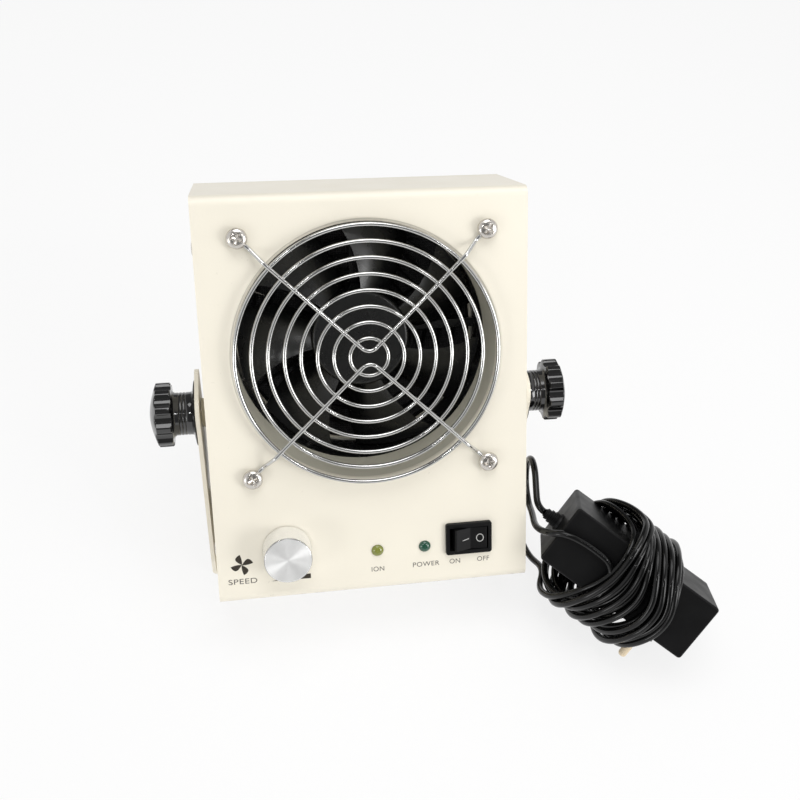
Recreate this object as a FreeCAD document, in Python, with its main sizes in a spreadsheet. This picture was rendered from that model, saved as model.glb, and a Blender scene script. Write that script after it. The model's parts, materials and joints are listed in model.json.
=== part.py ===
"""Ionizing blower: a sheet-steel fan head that tilts in a U bracket, with its plug-in adapter.

Head pieces are drawn in the head's own frame, whose origin is the centre of the front panel's
outer face: X to the right seen from the front, Y into the case, Z up the panel. HEAD_PLACE then
leans the head back about its two clamp knobs. The bracket stands on Z = 0 with its base centred
on the origin. Adapter pieces are drawn about the adapter's centre and set down by ADAPTER_PLACE.
"""
import FreeCAD
import Part
import math
import os
import Sketcher

Vec = FreeCAD.Vector

SIZES = {
    # case
    "case_depth": 58.7, "sheet_wall": 1.2, "side_room": 1.5, "top_margin": 9.95,
    "strip_height": 51.75,
    "bend_radius": 4.0, "seam_gap": 0.1, "tab_length": 14.0, "tab_width": 16.0,
    "tab_inset": 22.65, "case_screw_radius": 1.5, "case_screw_hole": 1.7,
    "case_screw_rise": 1.1, "case_screw_length": 4.0,
    # opening and duct
    "opening_step": 0.1, "lip_depth": 3.8, "lip_rounding": 2.4,
    "duct_wall": 1.0, "vent_step": 1.0,
    # fan
    "fan_square": 119.6, "fan_depth": 25.4, "fan_bore": 57.0, "fan_flange": 4.6,
    "fan_corner": 6.0, "barrel_wall": 2.2, "hole_pitch": 104.8, "hole_radius": 2.2,
    "hub_radius": 22.5, "hub_length": 17.5, "hub_wall": 2.0, "hub_inset": 1.2,
    "tip_gap": 1.2, "blade_wall": 1.5, "blade_depth": 15.0, "blade_phase": 20.0, "strut_width": 4.0,
    "strut_depth": 3.0, "tube_radius": 5.0, "bearing_radius": 3.0, "shaft_radius": 1.5,
    "running_gap": 0.04, "stator_radius": 16.6, "magnet_wall": 2.6, "air_gap": 1.0,
    # emitter
    "emitter_depth": 2.8, "needle_radius": 0.6, "needle_length": 12.0, "needle_tip": 0.08,
    # guards
    "guard_wire": 0.9, "guard_stand": 4.4, "guard_reach": 56.65, "guard_pitch": 6.92,
    "guard_weld": 0.25, "eye_radius": 3.0, "screw_radius": 2.0, "screw_head": 4.4,
    "screw_head_height": 2.6, "guard_screw_length": 9.0, "rear_screw_length": 8.0,
    "nut_radius": 4.0, "nut_height": 3.2,
    # rear filter
    "grid_fit": 0.2, "grid_lap": 2.0, "grid_wall": 0.9, "grid_bar": 1.0,
    "grid_gap": 0.1, "filter_fit": 0.5,
    # controls
    "switch_rise": 22.25, "switch_inset": 27.3, "bezel_width": 21.4, "bezel_height": 15.2,
    "bezel_depth": 2.0, "switch_width": 19.2, "switch_height": 13.0, "switch_depth": 15.0,
    "rocker_width": 15.4, "rocker_height": 10.4, "rocker_gap": 0.35, "rocker_swing": 1.3,
    "rocker_lean": 8.0, "rocker_axle": 3.5, "rocker_rise": 3.2, "rocker_root": 4.0,
    "rocker_pin": 1.2, "rocker_pin_length": 0.9, "rocker_crown": 1.6, "well_room": 2.4,
    "led_radius": 2.65, "led_rise": 19.65, "led_offset": 20.4, "led_pitch": 21.7,
    "led_stand": 1.6, "led_fit": 0.1, "led_rim": 0.4, "led_seat": 1.3, "led_back": 2.5,
    "leg_radius": 0.3, "leg_length": 9.5, "leg_pitch": 2.54,
    "dial_inset": 31.1, "dial_rise": 24.35, "dial_radius": 10.45, "dial_length": 12.3,
    "dial_gap": 0.5, "dial_flare": 0.5, "spindle_radius": 3.0, "bushing_radius": 3.5,
    "bushing_length": 5.0, "pot_radius": 8.3, "pot_depth": 9.0, "pot_nut_radius": 5.6,
    "pot_nut_height": 2.2, "dial_recess": 7.0,
    # inside the case
    "board_room": 11.5, "board_depth": 30.0, "board_wall": 1.6, "standoff_height": 6.0,
    "standoff_radius": 2.6, "module_width": 60.0, "module_height": 26.0, "module_depth": 20.0,
    "module_inset": 42.5, "module_rise": 35.65,
    "jack_inset": 25.5, "jack_rise": 28.65, "jack_radius": 4.0, "jack_bore": 3.0,
    "jack_body": 13.0, "jack_depth": 14.0, "jack_stand": 2.5, "jack_nut_radius": 5.8,
    # tilt pivot
    "pivot_depth": 30.0, "pivot_drop": -9.2, "lean_angle": 30.0, "stud_radius": 3.0,
    "stud_hole": 3.3, "insert_radius": 6.0, "insert_length": 8.0, "spacer_radius": 6.5,
    "spacer_length": 2.7, "body_gap": 0.3,
    # bracket
    "arm_wall": 1.8, "bracket_depth": 53.0, "arm_width": 31.2, "arm_foot": 12.0,
    "swing_gap": 0.4, "arm_rise": 17.0, "arm_corner": 8.0, "bracket_bend": 2.6,
    "mount_hole": 2.6, "mount_pitch_x": 90.0, "mount_pitch_y": 36.0,
    # clamp knobs
    "knob_hub": 9.7, "knob_hub_length": 10.4, "knob_flange": 14.8, "flange_depth": 1.5,
    "knob_radius": 14.6, "knob_rim": 6.6, "knob_dome": 3.6, "knob_crown": 7.6,
    "knob_flute": 3.4, "knob_flute_reach": 17.0, "knob_lobes": 10, "stud_grip": 9.0,
    # adapter
    "adapter_length": 80.0, "adapter_width": 30.0, "adapter_thick": 34.7,
    "adapter_corner": 1.6, "island_length": 12.0, "island_height": 2.0, "island_width": 28.0,
    "island_side": 20.0, "pin_radius": 2.0, "pin_length": 15.0, "pin_pitch": 19.0,
    "relief_radius": 4.4, "relief_tip": 2.4, "relief_length": 8.0, "relief_groove": 0.7,
    "relief_ribs": 4,
    # lead
    "lead_radius": 1.6, "winding_radius": 35.0, "winding_start": -34.0, "winding_end": 13.0,
    "winding_corner": 12.0, "winding_sag": 3.5, "winding_open": -14.0, "winding_gap": 0.3,
    "winding_lean": 24.0,
    "plug_radius": 5.2, "plug_length": 20.0, "plug_barrel": 2.75, "plug_barrel_length": 9.0,
}

doc = FreeCAD.newDocument("ionizing_blower")


class Size:
    """A length that knows its number and the sheet expression it comes from."""

    def __init__(self, number, text):
        self.number = float(number)
        self.text = text

    def __float__(self):
        return self.number

    def _join(self, other, sign, number):
        text = other.text if isinstance(other, Size) else repr(float(other))
        return Size(number, f"({self.text} {sign} {text})")

    def __add__(self, other):
        return self._join(other, "+", self.number + float(other))

    def __sub__(self, other):
        return self._join(other, "-", self.number - float(other))

    def __mul__(self, other):
        return self._join(other, "*", self.number * float(other))

    def __truediv__(self, other):
        return self._join(other, "/", self.number / float(other))

    def __neg__(self):
        return Size(-self.number, f"(-1 * {self.text})")


def hypotenuse(a, b):
    """The long side of a right triangle, as a Size."""
    return Size(math.hypot(a.number, b.number), f"sqrt(({a.text})^2 + ({b.text})^2)")


class Sheet:
    """The spreadsheet of driving dimensions; each alias is read as an attribute."""

    def __init__(self, sizes):
        self.cells = doc.addObject("Spreadsheet::Sheet", "Sizes")
        for row, (name, number) in enumerate(sizes.items(), start=1):
            self.cells.set(f"A{row}", name)
            self.cells.set(f"B{row}", str(number))
            self.cells.setAlias(f"B{row}", name)
        doc.recompute()

    def __getattr__(self, name):
        return Size(self.cells.get(name), f"Sizes.{name}")


z = Sheet(SIZES)
ZERO = Size(0, "0")
BLADES, NEEDLES, GUARD_RINGS, GRID_SPOKES = 7, 8, 8, 6

# places shared by several pieces, all from the sheet
CASE_WIDTH = z.fan_square + (z.sheet_wall + z.insert_length + z.side_room) * 2
CASE_HEIGHT = z.top_margin + z.fan_square + z.strip_height
OPENING_RADIUS = z.fan_bore + z.opening_step
VENT_RADIUS = z.fan_bore - z.vent_step
GRID_RADIUS = VENT_RADIUS - z.grid_fit
HALF_W = CASE_WIDTH / 2
HALF_H = CASE_HEIGHT / 2
FAN_HEIGHT = HALF_H - z.top_margin - z.fan_square / 2
TAB_HEIGHT = HALF_H - z.tab_inset
DIAL_SIDE, DIAL_HEIGHT = z.dial_inset - HALF_W, z.dial_rise - HALF_H
SWITCH_SIDE, SWITCH_HEIGHT = HALF_W - z.switch_inset, z.switch_rise - HALF_H
POWER_LED_SIDE, LED_HEIGHT = SWITCH_SIDE - z.led_offset, z.led_rise - HALF_H
ION_LED_SIDE = POWER_LED_SIDE - z.led_pitch
JACK_SIDE, JACK_HEIGHT = HALF_W - z.jack_inset, z.jack_rise - HALF_H
MODULE_SIDE, MODULE_HEIGHT = z.module_inset - HALF_W, z.module_rise - HALF_H
BOARD_WIDTH = CASE_WIDTH - z.board_room * 2
REAR_INNER = z.case_depth - z.sheet_wall
EMITTER_FRONT = REAR_INNER - z.emitter_depth
FAN_FRONT = EMITTER_FRONT - z.fan_depth
HUB_FRONT = FAN_FRONT + z.hub_inset
HUB_REAR = HUB_FRONT + z.hub_length
PLATE_FRONT = EMITTER_FRONT - z.strut_depth
ARM_INNER = HALF_W + z.spacer_length + z.body_gap
ARM_OUTER = ARM_INNER + z.arm_wall
KNOB_FACE = ARM_OUTER + z.body_gap
CORNER_REACH = hypotenuse(z.pivot_depth, HALF_H + z.pivot_drop)
PIVOT_HEIGHT = CORNER_REACH + z.swing_gap + z.arm_wall
HALF_PITCH = z.hole_pitch / 2


def head_placement():
    """Where the head's frame stands in the row's frame, leaned back about the pivot."""
    turn = FreeCAD.Rotation(Vec(1, 0, 0), -float(z.lean_angle))
    pivot = Vec(0, float(z.pivot_depth), float(z.pivot_drop))
    stand = Vec(0, 0, float(PIVOT_HEIGHT))
    return FreeCAD.Placement(stand - turn.multVec(pivot), turn)


HEAD_PLACE = head_placement()
ROW_PLACE = FreeCAD.Placement()
ADAPTER_CENTRE = Vec(117.8, -72.5, 37.3)
ADAPTER_TURN = FreeCAD.Rotation(-34.6, 22.0, 51.7)
ADAPTER_PLACE = FreeCAD.Placement(ADAPTER_CENTRE, ADAPTER_TURN)

NODES = []


def keep(piece, label, place):
    """Names a finished piece, stands it in the row's frame and lists it for export."""
    piece.Label = label
    piece.Placement = place.multiply(piece.Placement)
    NODES.append(piece)
    return piece


def bind(thing, prop, size):
    """Sets a property to a size and ties it to the sheet."""
    if isinstance(size, Size):
        setattr(thing, prop, size.number)
        if "Sizes." in size.text:
            thing.setExpression(prop, size.text)
    else:
        setattr(thing, prop, size)


# ---------------------------------------------------------------- PartDesign helpers
def new_body(label):
    return doc.addObject("PartDesign::Body", label)


def origin_plane(body, role):
    return next(p for p in body.Origin.OriginFeatures if p.Role == role)


def sketch(body, role, at=0.0):
    """A sketch on an origin plane of its body, moved by `at` along the plane's own axis."""
    flat = body.newObject("Sketcher::SketchObject", "Sketch")
    flat.AttachmentSupport = [(origin_plane(body, role), "")]
    flat.MapMode = "FlatFace"
    at = at if isinstance(at, Size) else Size(at, repr(float(at)))
    offset = -at if role == "XZ_Plane" else at
    flat.AttachmentOffset = FreeCAD.Placement(Vec(0, 0, offset.number), FreeCAD.Rotation())
    if "Sizes." in offset.text:
        flat.setExpression("AttachmentOffset.Base.z", offset.text)
    return flat


def fix_point(flat, geometry, point, x, y):
    """Pins a sketch point to the origin by two driven distances."""
    for kind, value in (("DistanceX", x), ("DistanceY", y)):
        if float(value) == 0.0:
            axis = -2 if kind == "DistanceX" else -1
            flat.addConstraint(Sketcher.Constraint("PointOnObject", geometry, point, axis))
            continue
        index = flat.addConstraint(
            Sketcher.Constraint(kind, -1, 1, geometry, point, float(value)))
        if isinstance(value, Size) and "Sizes." in value.text:
            flat.setExpression(f"Constraints[{index}]", value.text)


def circle(flat, radius, x=0.0, y=0.0):
    centre = Vec(float(x), float(y), 0)
    index = flat.addGeometry(Part.Circle(centre, Vec(0, 0, 1), float(radius)), False)
    fix_point(flat, index, 3, x, y)
    size = flat.addConstraint(Sketcher.Constraint("Radius", index, float(radius)))
    if isinstance(radius, Size):
        flat.setExpression(f"Constraints[{size}]", radius.text)


def outline(flat, points):
    """A closed outline of straight edges, each corner pinned to driven distances."""
    spots = [Vec(float(x), float(y), 0) for x, y in points]
    first = None
    for i, spot in enumerate(spots):
        edge = flat.addGeometry(Part.LineSegment(spot, spots[(i + 1) % len(spots)]), False)
        first = edge if first is None else first
        if i:
            flat.addConstraint(Sketcher.Constraint("Coincident", edge - 1, 2, edge, 1))
    flat.addConstraint(Sketcher.Constraint("Coincident", edge, 2, first, 1))
    for i, (x, y) in enumerate(points):
        fix_point(flat, first + i, 1, x, y)


def rectangle(flat, x0, y0, x1, y1):
    outline(flat, [(x0, y0), (x1, y0), (x1, y1), (x0, y1)])


def centred(flat, width, height, x=ZERO, y=ZERO):
    rectangle(flat, x - width / 2, y - height / 2, x + width / 2, y + height / 2)


def pad(body, flat, length, role, both=False):
    """Pads along the plane's own axis: +Z, +Y or +X."""
    feature = body.newObject("PartDesign::Pad", "Pad")
    feature.Profile = flat
    bind(feature, "Length", length)
    if both:
        feature.Midplane = True
    else:
        feature.Reversed = role == "XZ_Plane"
    flat.Visibility = False
    body.Tip = feature
    return feature


def pocket(body, flat, length, role, both=False):
    """Cuts along the plane's own axis: +Z, +Y or +X, and makes sure that something was cut."""
    doc.recompute()
    before = body.Shape.Volume
    feature = body.newObject("PartDesign::Pocket", "Pocket")
    feature.Profile = flat
    bind(feature, "Length", length)
    if both:
        feature.Midplane = True
    else:
        feature.Reversed = role != "XZ_Plane"
    body.Tip = feature
    doc.recompute()
    if not body.Shape.Volume < before - 1e-6:
        raise RuntimeError(f"{body.Label}: a pocket cut nothing")
    return feature


def turn_profile(body, flat, axis):
    feature = body.newObject("PartDesign::Revolution", "Turned")
    feature.Profile = flat
    feature.ReferenceAxis = (flat, [axis])
    feature.Angle = 360.0
    body.Tip = feature
    return feature


def edges_where(shape, test):
    """Names of the edges whose middle point and shape pass the test."""
    names = []
    for i, edge in enumerate(shape.Edges, start=1):
        span = edge.ParameterRange
        if test(edge, edge.valueAt((span[0] + span[1]) / 2)):
            names.append(f"Edge{i}")
    return names


def round_edges(body, radius, test, kind="PartDesign::Fillet"):
    doc.recompute()
    base = body.Tip
    names = edges_where(base.Shape, test)
    if not names:
        raise RuntimeError(f"{body.Label}: no edge to round")
    feature = body.newObject(kind, "Rounded")
    feature.Base = (base, names)
    bind(feature, "Radius" if kind.endswith("Fillet") else "Size", radius)
    body.Tip = feature
    return feature


def polar(body, feature, flat, axis, count):
    pattern = body.newObject("PartDesign::PolarPattern", "Pattern")
    pattern.Originals = [feature]
    pattern.Axis = (flat, [axis])
    pattern.Angle = 360.0
    if isinstance(count, Size):
        pattern.Occurrences = int(count.number)
        pattern.setExpression("Occurrences", count.text)
    else:
        pattern.Occurrences = count
    body.Tip = pattern
    return pattern


def near(a, b, slack=0.01):
    return abs(float(a) - float(b)) < slack


def along(edge, axis):
    """True when a straight edge runs along the given direction."""
    if not isinstance(edge.Curve, Part.Line):
        return False
    return abs(edge.Curve.Direction.dot(axis)) > 0.999


X_DIR, Y_DIR, Z_DIR = Vec(1, 0, 0), Vec(0, 1, 0), Vec(0, 0, 1)


# ---------------------------------------------------------------- Part helpers
def shape_node(label, shape, place):
    """A node whose shape is worked out from the sheet's values by Part's own functions."""
    piece = doc.addObject("Part::Feature", label)
    piece.Shape = shape
    return keep(piece, label, place)


def ring(outer, inner, start, end, x=0.0, height=0.0):
    """A tube along Y: outer and inner radius, start and end depth."""
    base = Vec(float(x), float(start), float(height))
    length = float(end) - float(start)
    solid = Part.makeCylinder(float(outer), length, base, Y_DIR)
    if float(inner) > 0:
        solid = solid.cut(Part.makeCylinder(float(inner), length, base, Y_DIR))
    return solid


def block(width, deep, height, x, y, low):
    """A box centred on x, from depth y, standing on height `low`."""
    return Part.makeBox(float(width), float(deep), float(height),
                        Vec(float(x) - float(width) / 2, float(y), float(low)))


def hexagon(radius, start, end, x, height, bore):
    """A hexagonal nut along Y, radius across corners, with its bore."""
    spots = [Vec(float(x) + float(radius) * math.cos(math.radians(60 * i)), float(start),
                 float(height) + float(radius) * math.sin(math.radians(60 * i)))
             for i in range(7)]
    prism = Part.Face(Part.makePolygon(spots)).extrude(Vec(0, float(end) - float(start), 0))
    return prism.cut(ring(bore, 0, float(start) - 1, float(end) + 1, x, height))


def pan_screw(x, height, seat, length, way, rise=z.screw_head_height):
    """A pan-head screw along Y: its head stands off the seat against `way`."""
    head, rise = float(z.screw_head), float(rise)
    profile = Part.Wire([
        Part.LineSegment(Vec(0, -rise, 0), Vec(head * 0.45, -rise, 0)).toShape(),
        Part.Arc(Vec(head * 0.45, -rise, 0), Vec(head * 0.86, -rise * 0.74, 0),
                 Vec(head, -rise * 0.2, 0)).toShape(),
        Part.LineSegment(Vec(head, -rise * 0.2, 0), Vec(head, 0, 0)).toShape(),
        Part.LineSegment(Vec(head, 0, 0), Vec(float(z.screw_radius), 0, 0)).toShape(),
        Part.LineSegment(Vec(float(z.screw_radius), 0, 0),
                         Vec(float(z.screw_radius), float(length), 0)).toShape(),
        Part.LineSegment(Vec(float(z.screw_radius), float(length), 0),
                         Vec(0, float(length), 0)).toShape(),
        Part.LineSegment(Vec(0, float(length), 0), Vec(0, -rise, 0)).toShape(),
    ])
    solid = Part.Face(profile).revolve(Vec(0, 0, 0), Y_DIR, 360)
    if way < 0:
        solid = solid.mirror(Vec(0, 0, 0), Y_DIR)
    solid.translate(Vec(float(x), float(seat), float(height)))
    return solid


def corner_spots():
    """The four fan screw centres, as (x, height)."""
    half = float(HALF_PITCH)
    rise = float(FAN_HEIGHT)
    return [(sx * half, rise + sy * half) for sx in (-1, 1) for sy in (-1, 1)]


# ---------------------------------------------------------------- case
def front_panel():
    """Front, top and bottom bent from one sheet, with a rolled lip round the opening."""
    body = new_body("front_panel")
    side = sketch(body, "YZ_Plane")
    wall, deep = z.sheet_wall, z.case_depth
    outline(side, [(0, -HALF_H), (deep, -HALF_H), (deep, -HALF_H + wall),
                   (wall, -HALF_H + wall), (wall, HALF_H - wall), (deep, HALF_H - wall),
                   (deep, HALF_H), (0, HALF_H)])
    pad(body, side, CASE_WIDTH, "YZ_Plane", both=True)
    tabs = sketch(body, "XZ_Plane")
    for sx in (-1, 1):
        for sz in (-1, 1):
            outer = (HALF_W - wall - z.seam_gap) * sx
            rectangle(tabs, outer - wall * sx, (TAB_HEIGHT - z.tab_width / 2) * sz,
                      outer, (TAB_HEIGHT + z.tab_width / 2) * sz)
    pad(body, tabs, z.tab_length + wall, "XZ_Plane")
    collar = sketch(body, "XZ_Plane")
    circle(collar, OPENING_RADIUS + wall, 0, FAN_HEIGHT)
    pad(body, collar, z.lip_depth, "XZ_Plane")
    opening = sketch(body, "XZ_Plane", -1.0)
    circle(opening, OPENING_RADIUS, 0, FAN_HEIGHT)
    pocket(body, opening, z.lip_depth + 2, "XZ_Plane")
    holes = sketch(body, "XZ_Plane", -1.0)
    for sx in (-1, 1):
        for sz in (-1, 1):
            circle(holes, z.hole_radius, HALF_PITCH * sx, FAN_HEIGHT + HALF_PITCH * sz)
    circle(holes, z.bushing_radius + z.led_fit, DIAL_SIDE, DIAL_HEIGHT)
    for x in (ION_LED_SIDE, POWER_LED_SIDE):
        circle(holes, z.led_radius + z.led_fit, x, LED_HEIGHT)
    centred(holes, z.switch_width + z.led_fit * 2, z.switch_height + z.led_fit * 2,
            SWITCH_SIDE, SWITCH_HEIGHT)
    pocket(body, holes, wall + 2, "XZ_Plane")
    threads = sketch(body, "YZ_Plane")
    for sz in (-1, 1):
        circle(threads, z.case_screw_radius, wall + z.tab_length * 0.7, TAB_HEIGHT * sz)
    pocket(body, threads, CASE_WIDTH, "YZ_Plane", both=True)
    round_edges(body, z.lip_rounding, lambda e, m: isinstance(e.Curve, Part.Circle)
                and near(e.Curve.Radius, OPENING_RADIUS) and near(m.y, 0))
    round_edges(body, z.bend_radius, lambda e, m: along(e, X_DIR)
                and near(m.y, 0) and near(abs(m.z), HALF_H))
    round_edges(body, z.bend_radius - wall, lambda e, m: along(e, X_DIR)
                and near(m.y, wall) and near(abs(m.z), HALF_H - wall))
    keep(body, "front_panel", HEAD_PLACE)


def rear_cover():
    """Back and both sides bent from one sheet; it closes the front panel's C."""
    body = new_body("rear_cover")
    wall = z.sheet_wall
    plan = sketch(body, "XY_Plane")
    start = wall + z.seam_gap
    outline(plan, [(-HALF_W, start), (-HALF_W, z.case_depth), (HALF_W, z.case_depth),
                   (HALF_W, start), (HALF_W - wall, start), (HALF_W - wall, REAR_INNER),
                   (wall - HALF_W, REAR_INNER), (wall - HALF_W, start)])
    pad(body, plan, CASE_HEIGHT - (wall + z.seam_gap) * 2, "XY_Plane", both=True)
    back = sketch(body, "XZ_Plane", REAR_INNER - 1)
    circle(back, VENT_RADIUS, 0, FAN_HEIGHT)
    for sx in (-1, 1):
        for sz in (-1, 1):
            circle(back, z.hole_radius, HALF_PITCH * sx, FAN_HEIGHT + HALF_PITCH * sz)
    circle(back, z.jack_radius + z.led_fit, JACK_SIDE, JACK_HEIGHT)
    pocket(body, back, wall + 2, "XZ_Plane")
    sides = sketch(body, "YZ_Plane")
    circle(sides, z.stud_hole, z.pivot_depth, z.pivot_drop)
    for sz in (-1, 1):
        circle(sides, z.case_screw_hole, wall + z.tab_length * 0.7, TAB_HEIGHT * sz)
    pocket(body, sides, CASE_WIDTH + 2, "YZ_Plane", both=True)
    round_edges(body, z.bend_radius, lambda e, m: along(e, Z_DIR)
                and near(m.y, z.case_depth) and near(abs(m.x), HALF_W))
    round_edges(body, z.bend_radius - wall, lambda e, m: along(e, Z_DIR)
                and near(m.y, REAR_INNER) and near(abs(m.x), HALF_W - wall))
    round_edges(body, z.bend_radius - wall, lambda e, m: along(e, X_DIR)
                and near(m.y, start) and near(abs(m.z), HALF_H - start))
    keep(body, "rear_cover", HEAD_PLACE)


def air_duct():
    """Rolled sheet duct from the lip back to the fan."""
    body = new_body("air_duct")
    flat = sketch(body, "XZ_Plane", z.lip_depth)
    circle(flat, OPENING_RADIUS + z.duct_wall, 0, FAN_HEIGHT)
    circle(flat, OPENING_RADIUS, 0, FAN_HEIGHT)
    pad(body, flat, FAN_FRONT - z.lip_depth, "XZ_Plane")
    keep(body, "air_duct", HEAD_PLACE)


def case_screws():
    """Four screws through the cover's sides into the front panel's tabs."""
    solids = []
    depth = float(z.sheet_wall) + float(z.tab_length) * 0.7
    for sx in (-1, 1):
        for sz in (-1, 1):
            screw = pan_screw(0, 0, 0, z.case_screw_length, 1, z.case_screw_rise)
            screw.scale(float(z.case_screw_radius) / float(z.screw_radius))
            screw.rotate(Vec(0, 0, 0), Z_DIR, 90 * sx)
            screw.translate(Vec(sx * float(HALF_W), depth, sz * float(TAB_HEIGHT)))
            solids.append(screw)
    shape_node("case_screws", Part.makeCompound(solids), HEAD_PLACE)


# ---------------------------------------------------------------- fan
def rounded_square(flat, side, corner, height):
    """A square with round corners about (0, height), tangent arcs between straight edges."""
    half, r = float(side) / 2, float(corner)
    c, low = half - r, float(height)
    lines, arcs = [], []
    for k in range(4):
        turn = math.radians(90 * k)
        spin = lambda x, y, t=turn: Vec(x * math.cos(t) - y * math.sin(t),
                                        low + x * math.sin(t) + y * math.cos(t), 0)
        lines.append(flat.addGeometry(Part.LineSegment(spin(half, -c), spin(half, c)), False))
        middle = c + r * math.sqrt(0.5)
        arcs.append(flat.addGeometry(
            Part.Arc(spin(half, c), spin(middle, middle), spin(c, half)), False))
    for k in range(4):
        flat.addConstraint(Sketcher.Constraint("Tangent", lines[k], 2, arcs[k], 1))
        flat.addConstraint(Sketcher.Constraint("Tangent", arcs[k], 2, lines[(k + 1) % 4], 1))
    flat.addConstraint(Sketcher.Constraint("Vertical", lines[0]))
    flat.addConstraint(Sketcher.Constraint("Horizontal", lines[1]))
    flat.addConstraint(Sketcher.Constraint("Vertical", lines[2]))
    for k in range(1, 4):
        flat.addConstraint(Sketcher.Constraint("Equal", arcs[0], arcs[k]))
    size = flat.addConstraint(Sketcher.Constraint("Radius", arcs[0], r))
    flat.setExpression(f"Constraints[{size}]", corner.text)
    for line, value in ((lines[0], side / 2), (lines[2], -side / 2)):
        index = flat.addConstraint(
            Sketcher.Constraint("DistanceX", -1, 1, line, 1, float(value)))
        flat.setExpression(f"Constraints[{index}]", value.text)
    for line, value in ((lines[1], height + side / 2), (lines[3], height - side / 2)):
        index = flat.addConstraint(
            Sketcher.Constraint("DistanceY", -1, 1, line, 1, float(value)))
        flat.setExpression(f"Constraints[{index}]", value.text)


def screw_circles(flat):
    for sx in (-1, 1):
        for sz in (-1, 1):
            circle(flat, z.hole_radius, HALF_PITCH * sx, FAN_HEIGHT + HALF_PITCH * sz)


def fan_frame():
    """Square fan housing: two flanges, a round barrel, four rear struts and a bearing tube."""
    body = new_body("fan_frame")
    front = sketch(body, "XZ_Plane", FAN_FRONT)
    rounded_square(front, z.fan_square, z.fan_corner, FAN_HEIGHT)
    pad(body, front, z.fan_flange, "XZ_Plane")
    barrel = sketch(body, "XZ_Plane", FAN_FRONT)
    circle(barrel, z.fan_bore + z.barrel_wall, 0, FAN_HEIGHT)
    pad(body, barrel, z.fan_depth, "XZ_Plane")
    rear = sketch(body, "XZ_Plane", EMITTER_FRONT - z.fan_flange)
    rounded_square(rear, z.fan_square, z.fan_corner, FAN_HEIGHT)
    pad(body, rear, z.fan_flange, "XZ_Plane")
    bore = sketch(body, "XZ_Plane", FAN_FRONT - 1)
    circle(bore, z.fan_bore, 0, FAN_HEIGHT)
    pocket(body, bore, z.fan_depth + 2, "XZ_Plane")
    holes = sketch(body, "XZ_Plane", FAN_FRONT - 1)
    screw_circles(holes)
    pocket(body, holes, z.fan_depth + 2, "XZ_Plane")
    plate = sketch(body, "XZ_Plane", PLATE_FRONT)
    circle(plate, z.hub_radius, 0, FAN_HEIGHT)
    pad(body, plate, z.strut_depth, "XZ_Plane")
    struts = sketch(body, "XZ_Plane", PLATE_FRONT)
    centred(struts, z.strut_width, z.fan_bore * 2 + z.barrel_wall, ZERO, FAN_HEIGHT)
    pad(body, struts, z.strut_depth, "XZ_Plane")
    struts = sketch(body, "XZ_Plane", PLATE_FRONT)
    centred(struts, z.fan_bore * 2 + z.barrel_wall, z.strut_width, ZERO, FAN_HEIGHT)
    pad(body, struts, z.strut_depth, "XZ_Plane")
    tube_front = HUB_FRONT + z.hub_wall + z.air_gap
    tube = sketch(body, "XZ_Plane", tube_front)
    circle(tube, z.tube_radius, 0, FAN_HEIGHT)
    pad(body, tube, PLATE_FRONT - tube_front, "XZ_Plane")
    seat = sketch(body, "XZ_Plane", tube_front - 1)
    circle(seat, z.bearing_radius, 0, FAN_HEIGHT)
    pocket(body, seat, EMITTER_FRONT - z.strut_depth / 2 - tube_front + 1, "XZ_Plane")
    keep(body, "fan_frame", HEAD_PLACE)


def blade():
    """One swept blade: a loft through curved plates, trimmed at the tip by a cylinder."""
    front = float(HUB_FRONT) + 1.0
    deep, wall = float(z.blade_depth), float(z.blade_wall)
    tip = float(z.fan_bore) - float(z.tip_gap)
    root = float(z.hub_radius) - 2.5
    reach = tip + 4.0
    sections = []
    for k in range(4):
        share = k / 3
        r = root + (reach - root) * share
        half = r * math.tan(math.radians(17.5 + 1.5 * share))
        sweep = math.radians(16.0 * share ** 1.6)
        camber = 3.4 - 1.2 * share
        low, high = front + deep * 0.04 * k, front + deep
        across = Vec(math.cos(sweep), 0, math.sin(sweep))
        out = Vec(-math.sin(sweep), 0, math.cos(sweep))
        spot = lambda u, y: out * r + across * u + Vec(0, y, 0)
        middle = (low + high) / 2
        lead, trail = spot(-half, low), spot(half, high)
        lead2, trail2 = spot(-half + wall * 0.3, low + wall), spot(half, high + wall * 0.5)
        upper = Part.Arc(lead, spot(0, middle - camber), trail).toShape()
        lower = Part.Arc(trail2, spot(0, middle - camber + wall), lead2).toShape()
        sections.append(Part.Wire([upper, Part.LineSegment(trail, trail2).toShape(), lower,
                                   Part.LineSegment(lead2, lead).toShape()]))
    solid = Part.makeLoft(sections, True, False)
    trim = Part.makeCylinder(tip, deep + 12, Vec(0, front - 4, 0), Y_DIR)
    return solid.common(trim)


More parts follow.
